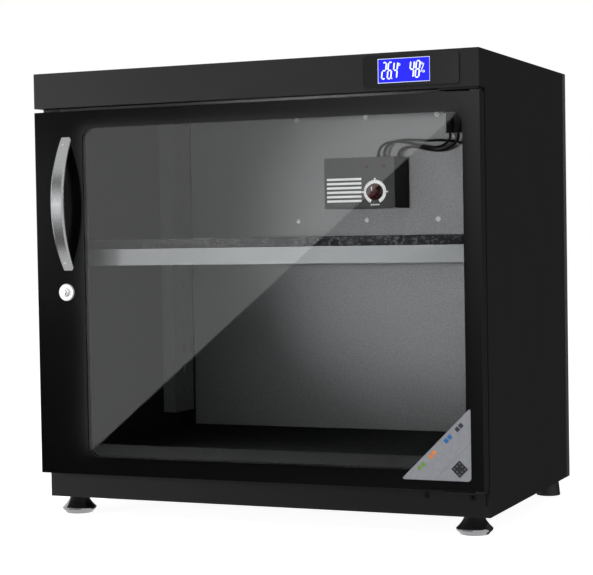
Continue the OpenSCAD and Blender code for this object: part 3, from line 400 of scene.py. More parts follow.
def make_lead(name, node):
    """A round lead along its points, as a curve with a cord's facts."""
    points = lead_points[node]
    curve = bpy.data.curves.new(name, "CURVE")
    curve.dimensions = "3D"
    curve.bevel_depth = lead_thick / 2
    curve.bevel_resolution = 4
    curve.resolution_u = 6
    curve.use_fill_caps = True
    line = curve.splines.new("BEZIER")
    line.bezier_points.add(len(points) - 1)
    for corner, point in zip(line.bezier_points, points):
        corner.co = point
        corner.handle_left_type = "AUTO"
        corner.handle_right_type = "AUTO"
    curve.materials.append(lead_black)
    obj = bpy.data.objects.new(name, curve)
    bpy.context.scene.collection.objects.link(obj)
    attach(obj, "cabinet")
    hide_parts(node)


for letter in "ab":
    plug = make_plug("plug_" + letter, "lead_plug_" + letter)
    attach(plug, "cabinet")
    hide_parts("lead_plug_" + letter)

make_lead("lead_to_plug_a", "control_lead_a")
make_lead("lead_to_plug_b", "control_lead_b")
make_lead("lead_to_sensor", "sensor_lead")

# A tapered rubber grommet where each lead leaves the box
box_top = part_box("control_box")[1].z
grommets = [turned("grommet", plug_black, (points[0].x, points[0].y, box_top), "Z",
                   [(-0.001, 0.0027), (0, 0.0033), (0.0009, 0.0033), (0.0014, 0.0028),
                    (0.0030, 0.0021), (0.0034, 0.0017)], 24) for points in lead_points.values()]
lead_grommets = join(grommets, "lead_grommets")
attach(lead_grommets, "cabinet")

# Outer sheets
# The sides, top cover, plinth rail, hinge brackets and rear vent cover are folded from steel
# sheet and coated with black powder, which leaves a fine satin texture and soft round folds.
black_powder = grained("black powder coat", (0.0105, 0.0105, 0.0112), (0.014, 0.014, 0.015), 1400,
                       0.46, 0.08, 0.00004, sheen=0.3)


def paint(node, finish):
    """Gives a CAD piece its finish."""
    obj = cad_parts[node]
    obj.data.materials.clear()
    obj.data.materials.append(finish)
    return obj


def dress(node, finish, fold_radius, smooth_angle=30):
    """Gives a CAD piece its finish and live modifiers that round its edges."""
    obj = paint(node, finish)
    take(obj)
    bpy.ops.object.shade_smooth()
    weld = obj.modifiers.new("weld", "WELD")
    weld.merge_threshold = 0.000002
    flat = obj.modifiers.new("flat", "DECIMATE")
    flat.decimate_type = "DISSOLVE"
    flat.angle_limit = math.radians(0.5)
    soft_edges(obj, fold_radius, 2, smooth_angle)


for node in ("left_side_panel", "right_side_panel", "top_cover", "front_rail", "rear_vent_cover",
             "upper_hinge_bracket", "lower_hinge_bracket"):
    dress(node, black_powder, 0.0005)

# Inner sheets
# The back wall, ceiling, floor, shelf tray and shelf posts are thinner sheets with a grey
# hammered powder coat, whose small light flecks show on the lit back wall.
grey_powder = grained("grey hammered coat", (0.16, 0.16, 0.162), (0.23, 0.23, 0.233), 640, 0.6,
                      0.1, 0.00005, flecks=(0.35, 0.70), sheen=0.06)
for node in ("back_panel", "floor_panel", "ceiling_panel", "shelf_tray", "shelf_post_front_left",
             "shelf_post_front_right", "shelf_post_rear_left", "shelf_post_rear_right"):
    dress(node, grey_powder, 0.0004)

# Door frame
# A shallow pan of sheet steel with a glossy black enamel. Its window has rounded corners, and
# an inner panel closes it behind.
black_enamel = grained("black enamel", (0.0022, 0.0022, 0.0026), (0.0028, 0.0028, 0.0032), 600,
                       0.09, 0.03, 0.000008)
door_low, door_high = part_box("door_frame")
door_face = door_low.y
sheet = 0.0012
window_low = Vector((-0.184, 0, 0.0645))
window_high = Vector((0.223, 0, 0.402))
window_round = 0.013
lock_x, lock_z, lock_hole = -0.2053, 0.234, 0.00665
handle_x, handle_z, handle_post, screw_hole = -0.2033, 0.325, 0.0575, 0.00215
hinge_x, hinge_y, bush_hole = 0.234, -0.1475, 0.0042


def cut_with(obj, cutter):
    """Takes the cutter's shape out of a piece, and deletes the cutter."""
    take(obj)
    cut = obj.modifiers.new("cut", "BOOLEAN")
    cut.operation = "DIFFERENCE"
    cut.object = cutter
    cut.solver = "EXACT"
    bpy.ops.object.modifier_apply(modifier=cut.name)
    bpy.data.objects.remove(cutter, do_unlink=True)


door_pan = block("enamel_door", black_enamel, door_low, door_high)
cut_with(door_pan, block("pan_inside", black_enamel,
                         (door_low.x + sheet, door_face + sheet, door_low.z + sheet),
                         (door_high.x - sheet, door_high.y + sheet, door_high.z - sheet)))
window_cut = block("window_cut", black_enamel, (window_low.x, door_face - sheet, window_low.z),
                   (window_high.x, door_face + 2 * sheet, window_high.z))
pick(window_cut, lambda place, way: abs(way.y) > 0.9, "EDGE")
bpy.ops.mesh.bevel(offset=window_round, segments=10, affect="EDGES")
bpy.ops.object.mode_set(mode="OBJECT")
cut_with(door_pan, window_cut)
for hole_x, hole_z, hole_radius in ((lock_x, lock_z, lock_hole),
                                    (handle_x, handle_z - handle_post, screw_hole),
                                    (handle_x, handle_z + handle_post, screw_hole)):
    cut_with(door_pan, turned("hole", black_enamel, (hole_x, door_face, hole_z), "Y",
                              [(-sheet, hole_radius), (2 * sheet, hole_radius)], 32))
for hole_z in (door_low.z, door_high.z):
    cut_with(door_pan, turned("hole", black_enamel, (hinge_x, hinge_y, hole_z), "Z",
                              [(-2 * sheet, bush_hole), (2 * sheet, bush_hole)], 32))
close(door_pan, 30)
round_edges(door_pan, 0.0005, 3, 40)
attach(door_pan, "door")
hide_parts("door_frame")
dress("door_liner", black_enamel, 0.0004)

# Door glass
# One pane of clear toughened glass, held behind the frame by a rubber strip. Lamps shine
# through it without a shadow.
clear_glass = new_finish("clear glass", (0.93, 0.95, 0.95), 0.0)
glass_tree = clear_glass.node_tree
glass_shader = shader_of(clear_glass)
glass_shader.inputs["Transmission Weight"].default_value = 1.0
glass_shader.inputs["IOR"].default_value = 1.46
light_path = glass_tree.nodes.new("ShaderNodeLightPath")
clear_way = glass_tree.nodes.new("ShaderNodeBsdfTransparent")
glass_mix = glass_tree.nodes.new("ShaderNodeMixShader")
glass_tree.links.new(light_path.outputs["Is Shadow Ray"], glass_mix.inputs["Fac"])
glass_tree.links.new(glass_shader.outputs["BSDF"], glass_mix.inputs[1])
glass_tree.links.new(clear_way.outputs["BSDF"], glass_mix.inputs[2])
glass_tree.links.new(glass_mix.outputs["Shader"],
                     glass_tree.nodes["Material Output"].inputs["Surface"])
paint("door_glass", clear_glass)

# Door seals
# A magnetic seal of soft black PVC runs round the inner panel. It has a flat foot, a narrow
# bellows and a round head, and a thinner rubber strip beds the glass.
soft_rubber = grained("black rubber", (0.011, 0.011, 0.0115), (0.017, 0.017, 0.018), 900, 0.55, 0.1,
                      0.00004)
dress("glazing_seal", soft_rubber, 0.0002)
seal_low, seal_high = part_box("door_gasket")
seal_wide = 0.008
clear_selection()
bpy.ops.mesh.primitive_plane_add(
    size=1, location=((seal_low.x + seal_high.x) / 2, seal_low.y, (seal_low.z + seal_high.z) / 2),
    rotation=(-math.pi / 2, 0, 0))
bpy.context.object.scale = (seal_high.x - seal_low.x, seal_high.z - seal_low.z, 1)
door_seal = named("door_seal", soft_rubber)
pick(door_seal, lambda place, way: True, "VERT")
bpy.ops.mesh.bevel(offset=0.0095, segments=7, affect="VERTICES")
pick(door_seal, lambda place, way: True)
bpy.ops.mesh.inset(thickness=seal_wide)
bpy.ops.mesh.delete(type="FACE")
pick(door_seal, lambda place, way: True)
extrude((0, 0.0006, 0))
for inward, outward in ((0.0014, 0.0), (0.0002, 0.0007), (0.0002, 0.0006)):
    bpy.ops.mesh.inset(thickness=inward, depth=outward)
extrude((0, 0.0004, 0))
bpy.ops.mesh.inset(thickness=0.0007, depth=0.0006)
close(door_seal, 40)
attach(door_seal, "door")
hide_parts("door_gasket")

# Handle
# A bow of pressed zinc alloy with a satin chrome face and bright chamfered edges. It is widest
# at its middle, and two screws from inside the door hold its posts.
brushed, brushed_in, brushed_out = new_effect(
    "brushed metal",
    [("Colour", COLOUR, (0.6, 0.6, 0.6, 1)), ("Dark", COLOUR, (0.5, 0.5, 0.5, 1)),
     ("Stretch", VECTOR, (1.0, 1.0, 1.0)), ("Roughness", NUMBER, 0.3),
     ("Roughness Change", NUMBER, 0.15)],
    [("Colour", COLOUR), ("Roughness", NUMBER), ("Height", NUMBER)])
brushed_place = place_node(brushed)
brushed_scale = brushed.nodes.new("ShaderNodeVectorMath")
brushed_scale.operation = "MULTIPLY"
brushed.links.new(brushed_place, brushed_scale.inputs[0])
brushed.links.new(brushed_in["Stretch"], brushed_scale.inputs[1])
brushed_line = noise_node(brushed, 1.0, 3.0, brushed_scale.outputs["Vector"])
brushed_cloud = noise_node(brushed, 25.0, 2.0, brushed_place)
brushed_blend = math_node(brushed, "ADD", math_node(brushed, "MULTIPLY", brushed_line, 0.6),
                          math_node(brushed, "MULTIPLY", brushed_cloud, 0.4))
close_effect(brushed, brushed_out,
             mix_node(brushed, brushed_line, brushed_in["Dark"], brushed_in["Colour"]),
             drift(brushed, brushed_blend, brushed_in), brushed_line)


def brushed_metal(name, colour, dark, stretch, roughness, change, bump):
    """Metal with fine lines. The stretch is how dense they are along X, Y and Z."""
    finish = new_finish(name, colour, roughness, 1.0)
    node = lay_effect(finish, brushed, {"Colour": colour, "Dark": dark, "Roughness": roughness,
                                        "Roughness Change": change}, bump)
    node.inputs["Stretch"].default_value = stretch
    return finish


satin_chrome = brushed_metal("satin chrome", (0.40, 0.405, 0.41), (0.35, 0.355, 0.36),
                             (2600, 2600, 60), 0.27, 0.10, 0.000004)
handle_low, handle_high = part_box("handle_bow")
handle_half = (handle_high.z - handle_low.z) / 2
handle_out = door_face - handle_low.y
handle_thick = 0.004
handle_wide = 0.015
handle_end_wide = 0.0125
bow_radius = (handle_half ** 2 + handle_out ** 2) / (2 * handle_out)
bow_centre = Vector((handle_x, door_face - handle_out + bow_radius, handle_z))
bow_angle = math.asin(handle_half / bow_radius)
bow_steps = 44
chamfer = 0.0011

# The strip's section at its lower end, swung round the bow's centre
clear_selection()
bpy.ops.mesh.primitive_plane_add(size=1, location=(handle_x, handle_low.y + handle_thick / 2,
                                                   handle_z))
bpy.context.object.scale = (handle_end_wide, handle_thick, 1)
handle = named("bow_handle", satin_chrome)
pick(handle, lambda place, way: place.y < handle_low.y + handle_thick / 4, "VERT")
bpy.ops.mesh.bevel(offset=chamfer * 1.4, segments=1, affect="VERTICES")
pick(handle, lambda place, way: place.y > handle_low.y + handle_thick * 0.75, "VERT")
bpy.ops.mesh.bevel(offset=chamfer * 0.6, segments=2, affect="VERTICES")
bpy.ops.object.mode_set(mode="OBJECT")
handle.matrix_world = turn_about(bow_centre, bow_angle, "X")
settle(handle)
pick(handle, lambda place, way: True)
bpy.ops.mesh.spin(steps=bow_steps, angle=2 * bow_angle, center=bow_centre, axis=(1, 0, 0))
for step in range(bow_steps + 1):
    tilt = bow_angle * (1 - 2 * step / bow_steps)
    ray = Vector((0, -math.cos(tilt), -math.sin(tilt)))
    side = Vector((0, math.sin(tilt), -math.cos(tilt)))
    share = math.cos(math.pi / 2 * tilt / bow_angle)
    width = 1 + share * (handle_wide / handle_end_wide - 1)
    pick(handle, lambda place, way: (abs((place - bow_centre).dot(side)) < 0.0008
                                     and (place - bow_centre).dot(ray) > 0), "VERT")
    bpy.ops.transform.resize(value=(width, 1, 1), center_override=bow_centre)
close(handle, 25)

post_reach = 0.005
post_places = [handle_z - handle_post, handle_z + handle_post]
handle_parts = [handle]
for place_z in post_places:
    handle_parts.append(turned("handle_post", satin_chrome, (handle_x, door_face, place_z), "Y",
                               [(-post_reach, 0.0040), (-0.0014, 0.0040), (-0.0009, 0.0045),
                                (-0.0003, 0.0045), (0, 0.0042)], 32))
handle = join(handle_parts, "bow_handle")
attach(handle, "door")
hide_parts("handle_bow")

# Lock
# A cam lock with a polished round head and a sunk ring, which a hexagon nut holds from inside.
# The plug carries a bent keyway and turns the zinc plated cam.
polished_chrome = brushed_metal("bright nickel", (0.86, 0.865, 0.87), (0.80, 0.805, 0.81),
                                (300, 300, 300), 0.40, 0.06, 0.000001)
dark_hole = grained("keyway shade", (0.002, 0.002, 0.002), (0.003, 0.003, 0.003), 900, 0.6, 0.05,
                    0.00001)
zinc_plate = brushed_metal("zinc plate", (0.55, 0.56, 0.58), (0.42, 0.43, 0.46), (90, 90, 90), 0.38,
                           0.2, 0.000006)
lock_low, lock_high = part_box("lock_housing")
plug_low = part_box("lock_plug")[0]
lock_middle = Vector((lock_x, door_face, lock_z))
head_reach = door_face - lock_low.y
plug_reach = door_face - plug_low.y
lock_head = turned("lock_head", polished_chrome, lock_middle, "Y",
                   [(lock_high.y - door_face, 0.0065), (0.0, 0.0065), (0.0, 0.0088),
                    (-0.0006, 0.0090), (-head_reach + 0.0005, 0.0086), (-head_reach, 0.0078),
                    (-head_reach, 0.0064), (-head_reach + 0.0005, 0.0061),
                    (-head_reach + 0.0005, 0.0056), (-head_reach, 0.0053)], 64)
bore = turned("lock_bore", polished_chrome, lock_middle, "Y", [(-0.01, 0.0048), (0.03, 0.0048)], 48)
cut_with(lock_head, bore)
close(lock_head, 30)
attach(lock_head, "door")
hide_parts("lock_housing")

cam_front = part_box("lock_cam")[0].y - door_face
cam_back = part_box("lock_cam")[1].y - door_face
lock_core = turned("lock_core", polished_chrome, lock_middle, "Y",
                   [(-plug_reach, 0.0040), (-plug_reach + 0.0003, 0.0046),
                    (-plug_reach + 0.0007, 0.00475), (cam_front, 0.00475), (cam_front, 0.0030),
                    (cam_back, 0.0030), (cam_back, 0.00425), (cam_back + 0.0014, 0.00425),
                    (cam_back + 0.0020, 0.0036)], 48)

# The keyway: two arms that meet at the middle and point to one side
key_wide = 0.0013
key_half = 0.0027
key_bend = 0.0015
key_depth = 0.006
key_start = door_face - 0.004
key_tilt = math.atan2(key_bend, key_half)
for way, flip in ((-1, math.pi), (1, 0)):
    arm = block("keyway_arm", dark_hole,
                (lock_x - key_wide / 2, key_start, lock_z - 0.0004),
                (lock_x + key_wide / 2, key_start + key_depth, lock_z + key_half))
    turn = Matrix.Translation(lock_middle) @ (
        Matrix.Rotation(flip, 4, "Y") @ Matrix.Rotation(-way * key_tilt, 4, "Y")
    ) @ Matrix.Translation(-lock_middle)
    arm.matrix_world = Matrix.Translation((key_bend / 2, 0, 0)) @ turn
    cut_with(lock_core, settle(arm))
close(lock_core, 30)
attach(lock_core, "lock")
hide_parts("lock_plug")
dress("lock_cam", zinc_plate, 0.0003)
dress("lock_nut", zinc_plate, 0.0004)

# Display
# A glossy black bezel snaps into the header, and a blue backlit display stands in it. The
# digits are lit white bars that lean to the right, with a thin white frame round them.
bezel_gloss = grained("bezel gloss", (0.0025, 0.0025, 0.0035), (0.003, 0.003, 0.004), 400, 0.06,
                      0.02, 0.000004)
dress("display_bezel", bezel_gloss, 0.0003)


def lit_finish(name, colour, roughness, cloud_scale, cloud_detail, dim, bright, strength):
    """A lit face whose own colour drifts a little between two shades."""
    finish = new_finish(name, colour, roughness)
    tree = finish.node_tree
    cloud = noise_node(tree, cloud_scale, cloud_detail, place_node(tree))
    tree.links.new(mix_node(tree, cloud, dim, bright), shader_of(finish).inputs["Emission Color"])
    shader_of(finish).inputs["Emission Strength"].default_value = strength
    return finish


lcd_blue = lit_finish("display blue", (0.004, 0.004, 0.30), 0.25, 45.0, 2.0, (0.004, 0.004, 0.75),
                      (0.010, 0.012, 1.0), 0.95)
digit_white = lit_finish("display white", (0.55, 0.6, 0.75), 0.4, 300.0, 1.0, (0.70, 0.76, 1.0),
                         (0.95, 0.97, 1.0), 0.85)
dress("lcd_module", lcd_blue, 0.0002)
lcd_low, lcd_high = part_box("lcd_module")
lcd_front = lcd_low.y
screen_left = lcd_low.x + 0.002
screen_width = 0.052
print_sink = 0.0001
print_rise = 0.0001
digit_high = 0.0152
digit_wide = 0.0036
digit_line = 0.0014
digit_lean = 0.11
digit_base = lcd_low.z + 0.0042


def lit_bar(centre_x, centre_z, length, thick, upright, pivot_z):
    """One pointed bar of a digit, made flat on the screen and leaned with its digit."""
    half = Vector((thick / 2, 0, length / 2) if upright else (length / 2, 0, thick / 2))
    centre = Vector((centre_x, lcd_front, centre_z))
    bar = block("bar", digit_white, centre - half - Vector((0, print_rise, 0)),
                centre + half + Vector((0, print_sink, 0)))
    pick(bar, lambda place, way: abs(way.y) > 0.9, "EDGE")
    bpy.ops.mesh.bevel(offset=thick * 0.46, segments=1, affect="EDGES")
    bpy.ops.object.mode_set(mode="OBJECT")
    for corner in bar.data.vertices:
        corner.co.x += (corner.co.z - pivot_z) * digit_lean
    return bar


def make_digit(number, left):
    """The lit bars of one digit, as parts of the display."""
    half_high = digit_high / 2
    right = left + digit_wide
    middle = (left + right) / 2
    level_bar = digit_wide - digit_line * 0.4
    upright_bar = half_high - digit_line * 0.5
    places = {"a": (middle, digit_base + digit_high, level_bar, False),
              "g": (middle, digit_base + half_high, level_bar, False),
              "d": (middle, digit_base, level_bar, False),
              "f": (left, digit_base + half_high * 1.5, upright_bar, True),
              "e": (left, digit_base + half_high * 0.5, upright_bar, True),
              "b": (right, digit_base + half_high * 1.5, upright_bar, True),
              "c": (right, digit_base + half_high * 0.5, upright_bar, True)}
    bars = []
    for key in {2: "abged", 4: "fgbc", 6: "afgedc", 8: "abcdefg"}[number]:
        centre_x, centre_z, length, upright = places[key]
        bars.append(lit_bar(centre_x, centre_z, length, digit_line, upright, digit_base))
    return bars


def lit_patch(low_x, high_x, low_z, high_z):
    """A flat lit patch on the screen."""
    return block("patch", digit_white, (low_x, lcd_front - print_rise, low_z),
                 (high_x, lcd_front + print_sink, high_z))


display_parts = []
digit_pitch = 0.0057
first_digit = screen_left + 0.0036
second_digit = screen_left + 0.0315
for left, numbers in ((first_digit, (2, 6, 4)), (second_digit, (4, 8))):
    for index, number in enumerate(numbers):
        display_parts += make_digit(number, left + index * digit_pitch)
dot_x = first_digit + 2 * digit_pitch - 0.0011
dot_half = 0.0005
display_parts.append(lit_patch(dot_x - dot_half, dot_x + dot_half, digit_base - dot_half,
                               digit_base + dot_half))


def lit_ring(x, z, radius):
    ring = turned("ring", digit_white, (x, lcd_front, z), "Y",
                  [(-print_rise, radius), (print_sink, radius)], 20)
    cut_with(ring, turned("ring_hole", digit_white, (x, lcd_front, z), "Y",
                          [(-0.001, radius * 0.5), (0.001, radius * 0.5)], 20))
    return ring


# A degree ring, and a percent mark of two rings and a slanting bar
ring_high = 0.0128
ring_radius = 0.0012
display_parts.append(lit_ring(first_digit + 3 * digit_pitch + 0.0008, digit_base + ring_high,
                              ring_radius))
percent_x = second_digit + 2 * digit_pitch + 0.0014
for shift, height in ((-0.0004, ring_high), (0.0014, 0.0052)):
    display_parts.append(lit_ring(percent_x + shift, digit_base + height, ring_radius))
percent_point = Vector((percent_x + 0.0002, lcd_front, digit_base + 0.0086))
percent_bar = lit_bar(percent_x + 0.0002, digit_base + 0.0086, 0.0090, 0.0008, True,
                      digit_base + 0.0086)
percent_bar.matrix_world = turn_about(percent_point, math.radians(16), "Y")
display_parts.append(settle(percent_bar))

# Frame of the screen: four thin lit strips
frame_line = 0.00045
screen_right = screen_left + screen_width
for low_x, high_x, low_z, high_z in (
        (screen_left, screen_right, lcd_low.z, lcd_low.z + frame_line),
        (screen_left, screen_right, lcd_high.z - frame_line, lcd_high.z),
        (screen_left, screen_left + frame_line, lcd_low.z, lcd_high.z),
        (screen_right - frame_line, screen_right, lcd_low.z, lcd_high.z)):
    display_parts.append(lit_patch(low_x, high_x, low_z, high_z))
display_digits = join(display_parts, "display_digits")
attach(display_digits, "cabinet")

# Circuit boards
# Green boards behind the display and behind the control box's faceplate, with a solder mask
# over copper tracks.
board_green = grained("solder mask", (0.006, 0.05, 0.02), (0.012, 0.085, 0.035), 160, 0.32, 0.1,
                      0.00003, flecks=(0.49, 0.51))
dress("display_board", board_green, 0.0002)
dress("control_board", board_green, 0.0002)

# Corner label
# A triangular sticker of silver film with round corners. It carries four pairs of plain colour
# blocks along its long edge, a fine line and a dark square with light dots, and no words.
label_film = grained("silver film", (0.34, 0.35, 0.38), (0.38, 0.39, 0.42), 220, 0.34, 0.1,
                     0.00001, flecks=(0.35, 0.7))
label_low, label_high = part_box("corner_label")
label_corner = Vector((label_high.x, label_low.y, label_low.z))
label_side = 0.0695
label_round = 0.0035
ink_thick = 0.00004
clear_selection()
bpy.ops.mesh.primitive_plane_add(
    size=label_side, location=(label_corner.x - label_side / 2, label_high.y,
                               label_corner.z + label_side / 2), rotation=(math.pi / 2, 0, 0))
label = named("silver_label", label_film)
pick(label, lambda place, way: (place.x < label_corner.x - label_side / 2
                                and place.z > label_corner.z + label_side / 2), "VERT")
bpy.ops.mesh.dissolve_verts()
pick(label, lambda place, way: True, "VERT")
bpy.ops.mesh.bevel(offset=label_round, segments=6, affect="VERTICES")
pick(label, lambda place, way: True)
extrude((0, label_low.y - label_high.y, 0))
close(label, 30)
round_edges(label, 0.0001, 1, 60)


def label_print(name, colour, along, across, length, height):
    """A flat printed block on the label. Along runs up the long edge, across away from it."""
    ink = grained(name, colour, tuple(part * 1.25 + 0.01 for part in colour), 500, 0.4, 0.05,
                  0.000005)
    slope = Vector((1, 0, 1)).normalized()
    inward = Vector((1, 0, -1)).normalized()
    start = Vector((label_corner.x - label_side, label_low.y, label_corner.z))
    centre = start + slope * along + inward * across
    size = Vector((length / 2, 0, height / 2))
    patch = block(name, ink, centre - size - Vector((0, ink_thick, 0)),
                  centre + size + Vector((0, ink_thick, 0)))
    patch.matrix_world = turn_about(centre, -math.pi / 4, "Y")
    return settle(patch)


label_parts = [label]
block_inks = (("green ink", (0.20, 0.36, 0.08), 0.0212),
              ("orange ink", (0.80, 0.27, 0.06), 0.0371),
              ("blue ink", (0.02, 0.16, 0.45), 0.0588),
              ("dark ink", (0.03, 0.035, 0.05), 0.0745))
for ink_name, ink_colour, start in block_inks:
    for index in range(2):
        label_parts.append(label_print(ink_name, ink_colour, start + index * 0.0050, 0.0052, 0.0040,
                                       0.0042))
label_parts.append(label_print("grey line", (0.24, 0.25, 0.29), 0.0500, 0.0232, 0.0500, 0.0005))

# A dark square with a ring of eight light dots, a little prouder than its ink
square_along, square_across, square_side = 0.0492, 0.0330, 0.0118
label_parts.append(label_print("square ink", (0.022, 0.022, 0.026), square_along, square_across,
                               square_side, square_side))
dot_pitch = 0.0036
dot_side = 0.0012
for row in range(3):
    for column in range(3):
        if (row, column) != (1, 1):
            dot = label_print("square light", (0.20, 0.205, 0.22),
                              square_along + (column - 1) * dot_pitch,
                              square_across - 0.00002 + (row - 1) * dot_pitch, dot_side, dot_side)
            for corner in dot.data.vertices:
                corner.co.y -= 0.00003
            label_parts.append(dot)
silver_label = join(label_parts, "silver_label")
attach(silver_label, "door")
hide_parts("corner_label")

# Shelf
# The shelf is a folded tray on four clips. Its front edge carries a strip of satin aluminium.
trim_satin = brushed_metal("satin aluminium", (0.165, 0.167, 0.17), (0.14, 0.142, 0.145),
                           (40, 2500, 2500), 0.36, 0.12, 0.000004)
shader_of(trim_satin).inputs["Metallic"].default_value = 0.5
dress("shelf_front_trim", trim_satin, 0.0003)
dress("shelf_clips", grey_powder, 0.0003)

# Foam mats
# Sheets of black and grey speckled foam lie on the shelf and on the floor. They have a cut
# edge with open cells and a top that is a little uneven.
foam_cells, cells_in, cells_out = new_effect(
    "foam cells",
    [("Colour", COLOUR, (0.02, 0.02, 0.02, 1)), ("Fleck", COLOUR, (0.1, 0.1, 0.1, 1)),
     ("Scale", NUMBER, 500.0), ("Fleck Amount", NUMBER, 0.2), ("Roughness", NUMBER, 0.8)],
    [("Colour", COLOUR), ("Roughness", NUMBER), ("Height", NUMBER)])
cells = foam_cells.nodes.new("ShaderNodeTexVoronoi")
feed(foam_cells, cells.inputs["Scale"], cells_in["Scale"])
feed(foam_cells, cells.inputs["Vector"], place_node(foam_cells))
cell_random = foam_cells.nodes.new("ShaderNodeSeparateColor")
foam_cells.links.new(cells.outputs["Color"], cell_random.inputs["Color"])
fleck_edge = math_node(foam_cells, "SUBTRACT", 1.0, cells_in["Fleck Amount"])
fleck_mask = math_node(foam_cells, "GREATER_THAN", cell_random.outputs["Red"], fleck_edge)
cell_shade = stretch_node(foam_cells, cells.outputs["Distance"], 0.0, 0.7, 1.0, 0.35)
close_effect(foam_cells, cells_out,
             mix_node(foam_cells, math_node(foam_cells, "MULTIPLY", fleck_mask, cell_shade),
                      cells_in["Colour"], cells_in["Fleck"]),
             math_node(foam_cells, "ADD", math_node(foam_cells, "MULTIPLY", cell_shade, 0.1),
                       cells_in["Roughness"]),
             cells.outputs["Distance"])


def foam(name, colour, fleck, scale, amount):
    """Foam with cells of a size, of which a share are light flecks."""
    finish = new_finish(name, colour, 0.85)
    shader_of(finish).inputs["Specular IOR Level"].default_value = 0.1
    lay_effect(finish, foam_cells, {"Colour": colour, "Fleck": fleck, "Scale": scale,
                                    "Fleck Amount": amount, "Roughness": 0.8}, 0.0005)
    return finish


def make_mat(name, node, finish, body):
    """A slab of foam with rounded edges and a gently uneven top."""
    low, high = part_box(node)
    mat = block(name, finish, low, high - Vector((0, 0, 0.0003)))
    pick(mat, lambda place, way: True, "EDGE")
    bpy.ops.mesh.bevel(offset=0.0012, segments=3, affect="EDGES")
    for axis, count in ((0, 72), (1, 44)):
        normal = Vector((axis == 0, axis == 1, 0))
        for index in range(1, count):
            distance = low[axis] + (high[axis] - low[axis]) * index / count
            bpy.ops.mesh.select_all(action="SELECT")
            bpy.ops.mesh.bisect(plane_co=normal * distance, plane_no=normal)
    bpy.ops.object.mode_set(mode="OBJECT")
    cloud = bpy.data.textures.new(name + " waves", "CLOUDS")
    cloud.noise_scale = 0.035
    waves = mat.modifiers.new("waves", "DISPLACE")
    waves.texture = cloud
    waves.texture_coords = "LOCAL"
    waves.direction = "Z"
    waves.strength = 0.0006
    waves.mid_level = 0.5
    take(mat)
    bpy.ops.object.modifier_apply(modifier=waves.name)
    close(mat, 50)
    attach(mat, body)
    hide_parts(node)


grey_foam = foam("grey speckled foam", (0.006, 0.006, 0.0065), (0.05, 0.05, 0.052), 480, 0.30)
black_foam = foam("black speckled foam", (0.003, 0.003, 0.0033), (0.035, 0.035, 0.037), 620, 0.16)
make_mat("shelf_foam", "shelf_mat", grey_foam, "shelf")
make_mat("floor_foam", "floor_mat", black_foam, "cabinet")

# Control box
# A black moulded case stands on the back wall, with a satin grey faceplate. White louvres show
# through its six slots.
box_plastic = grained("moulded black plastic", (0.0025, 0.0025, 0.003), (0.004, 0.004, 0.0045),
                      1200, 0.5, 0.08, 0.00005, sheen=0.08)
plate_satin = grained("faceplate grey", (0.024, 0.024, 0.025), (0.030, 0.030, 0.031), 900, 0.33,
                      0.06, 0.00002, sheen=0.3)
print_white = grained("white print", (0.74, 0.74, 0.73), (0.80, 0.80, 0.79), 900, 0.5, 0.05,
                      0.00001)
dress("control_box", box_plastic, 0.0006)
dress("control_faceplate", plate_satin, 0.0003)
plate_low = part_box("control_faceplate")[0]
plate_front = plate_low.y
louvre_left = plate_low.x + 0.0026
louvre_length = 0.042
louvre_pitch = 0.0049
louvre_high = 0.0026
louvre_count = 6
first_louvre = plate_low.z + 0.007
louvres = []
for index in range(louvre_count):
    bottom = first_louvre + index * louvre_pitch
    slat = block("louvre", print_white,
                 (louvre_left + 0.0001, plate_front + 0.0002, bottom + 0.0001),
                 (louvre_left + louvre_length - 0.0001, plate_front + 0.0030,
                  bottom + louvre_high - 0.0001))
    pick(slat, lambda place, way: place.y < plate_front + 0.0004 and place.z > bottom + 0.002,
         "VERT")
    bpy.ops.transform.translate(value=(0, 0.0005, 0))
    close(slat, 30)
    louvres.append(round_edges(slat, 0.0002, 1))
louvre_back = block("louvre_frame", print_white,
                    (louvre_left - 0.001, plate_front + 0.0018, first_louvre - 0.001),
                    (louvre_left + louvre_length + 0.001, plate_front + 0.0034,
                     first_louvre + (louvre_count - 1) * louvre_pitch + louvre_high + 0.001))
louvres.append(round_edges(louvre_back, 0.0003, 1))
vent_louvres = join(louvres, "vent_louvres")
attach(vent_louvres, "cabinet")

# Dial scale
# Short white strokes are printed round the dial over 300 degrees. Three of them are longer, and
# five small marks stand under the gap.
knob_low, knob_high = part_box("dial_knob")
dial_x = (knob_low.x + knob_high.x) / 2
dial_z = (knob_low.z + knob_high.z) / 2
scale_inner = 0.0097
scale_outer = 0.0134
stroke_count = 31
stroke_span = math.radians(300)
stroke_half = 0.00085
long_strokes = (6, 15, 24)
dial_point = Vector((dial_x, 0, dial_z))
strokes = []
for index in range(stroke_count):
    turn = (index / (stroke_count - 1) - 0.5) * stroke_span
    tip = scale_outer + (0.0022 if index in long_strokes else 0)
    stroke = block("stroke", print_white,
                   (dial_x - stroke_half, plate_front - print_rise, dial_z + scale_inner),
                   (dial_x + stroke_half, plate_front + print_sink, dial_z + tip))
    stroke.matrix_world = turn_about(dial_point, turn, "Y")
    strokes.append(settle(stroke))
for index in range(5):
    strokes.append(block("mark", print_white,
                         (dial_x - 0.0052 + index * 0.0022, plate_front - print_rise,
                          dial_z - 0.0150),
                         (dial_x - 0.0038 + index * 0.0022, plate_front + print_sink,
                          dial_z - 0.0136)))
dial_scale = join(strokes, "dial_scale")
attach(dial_scale, "cabinet")

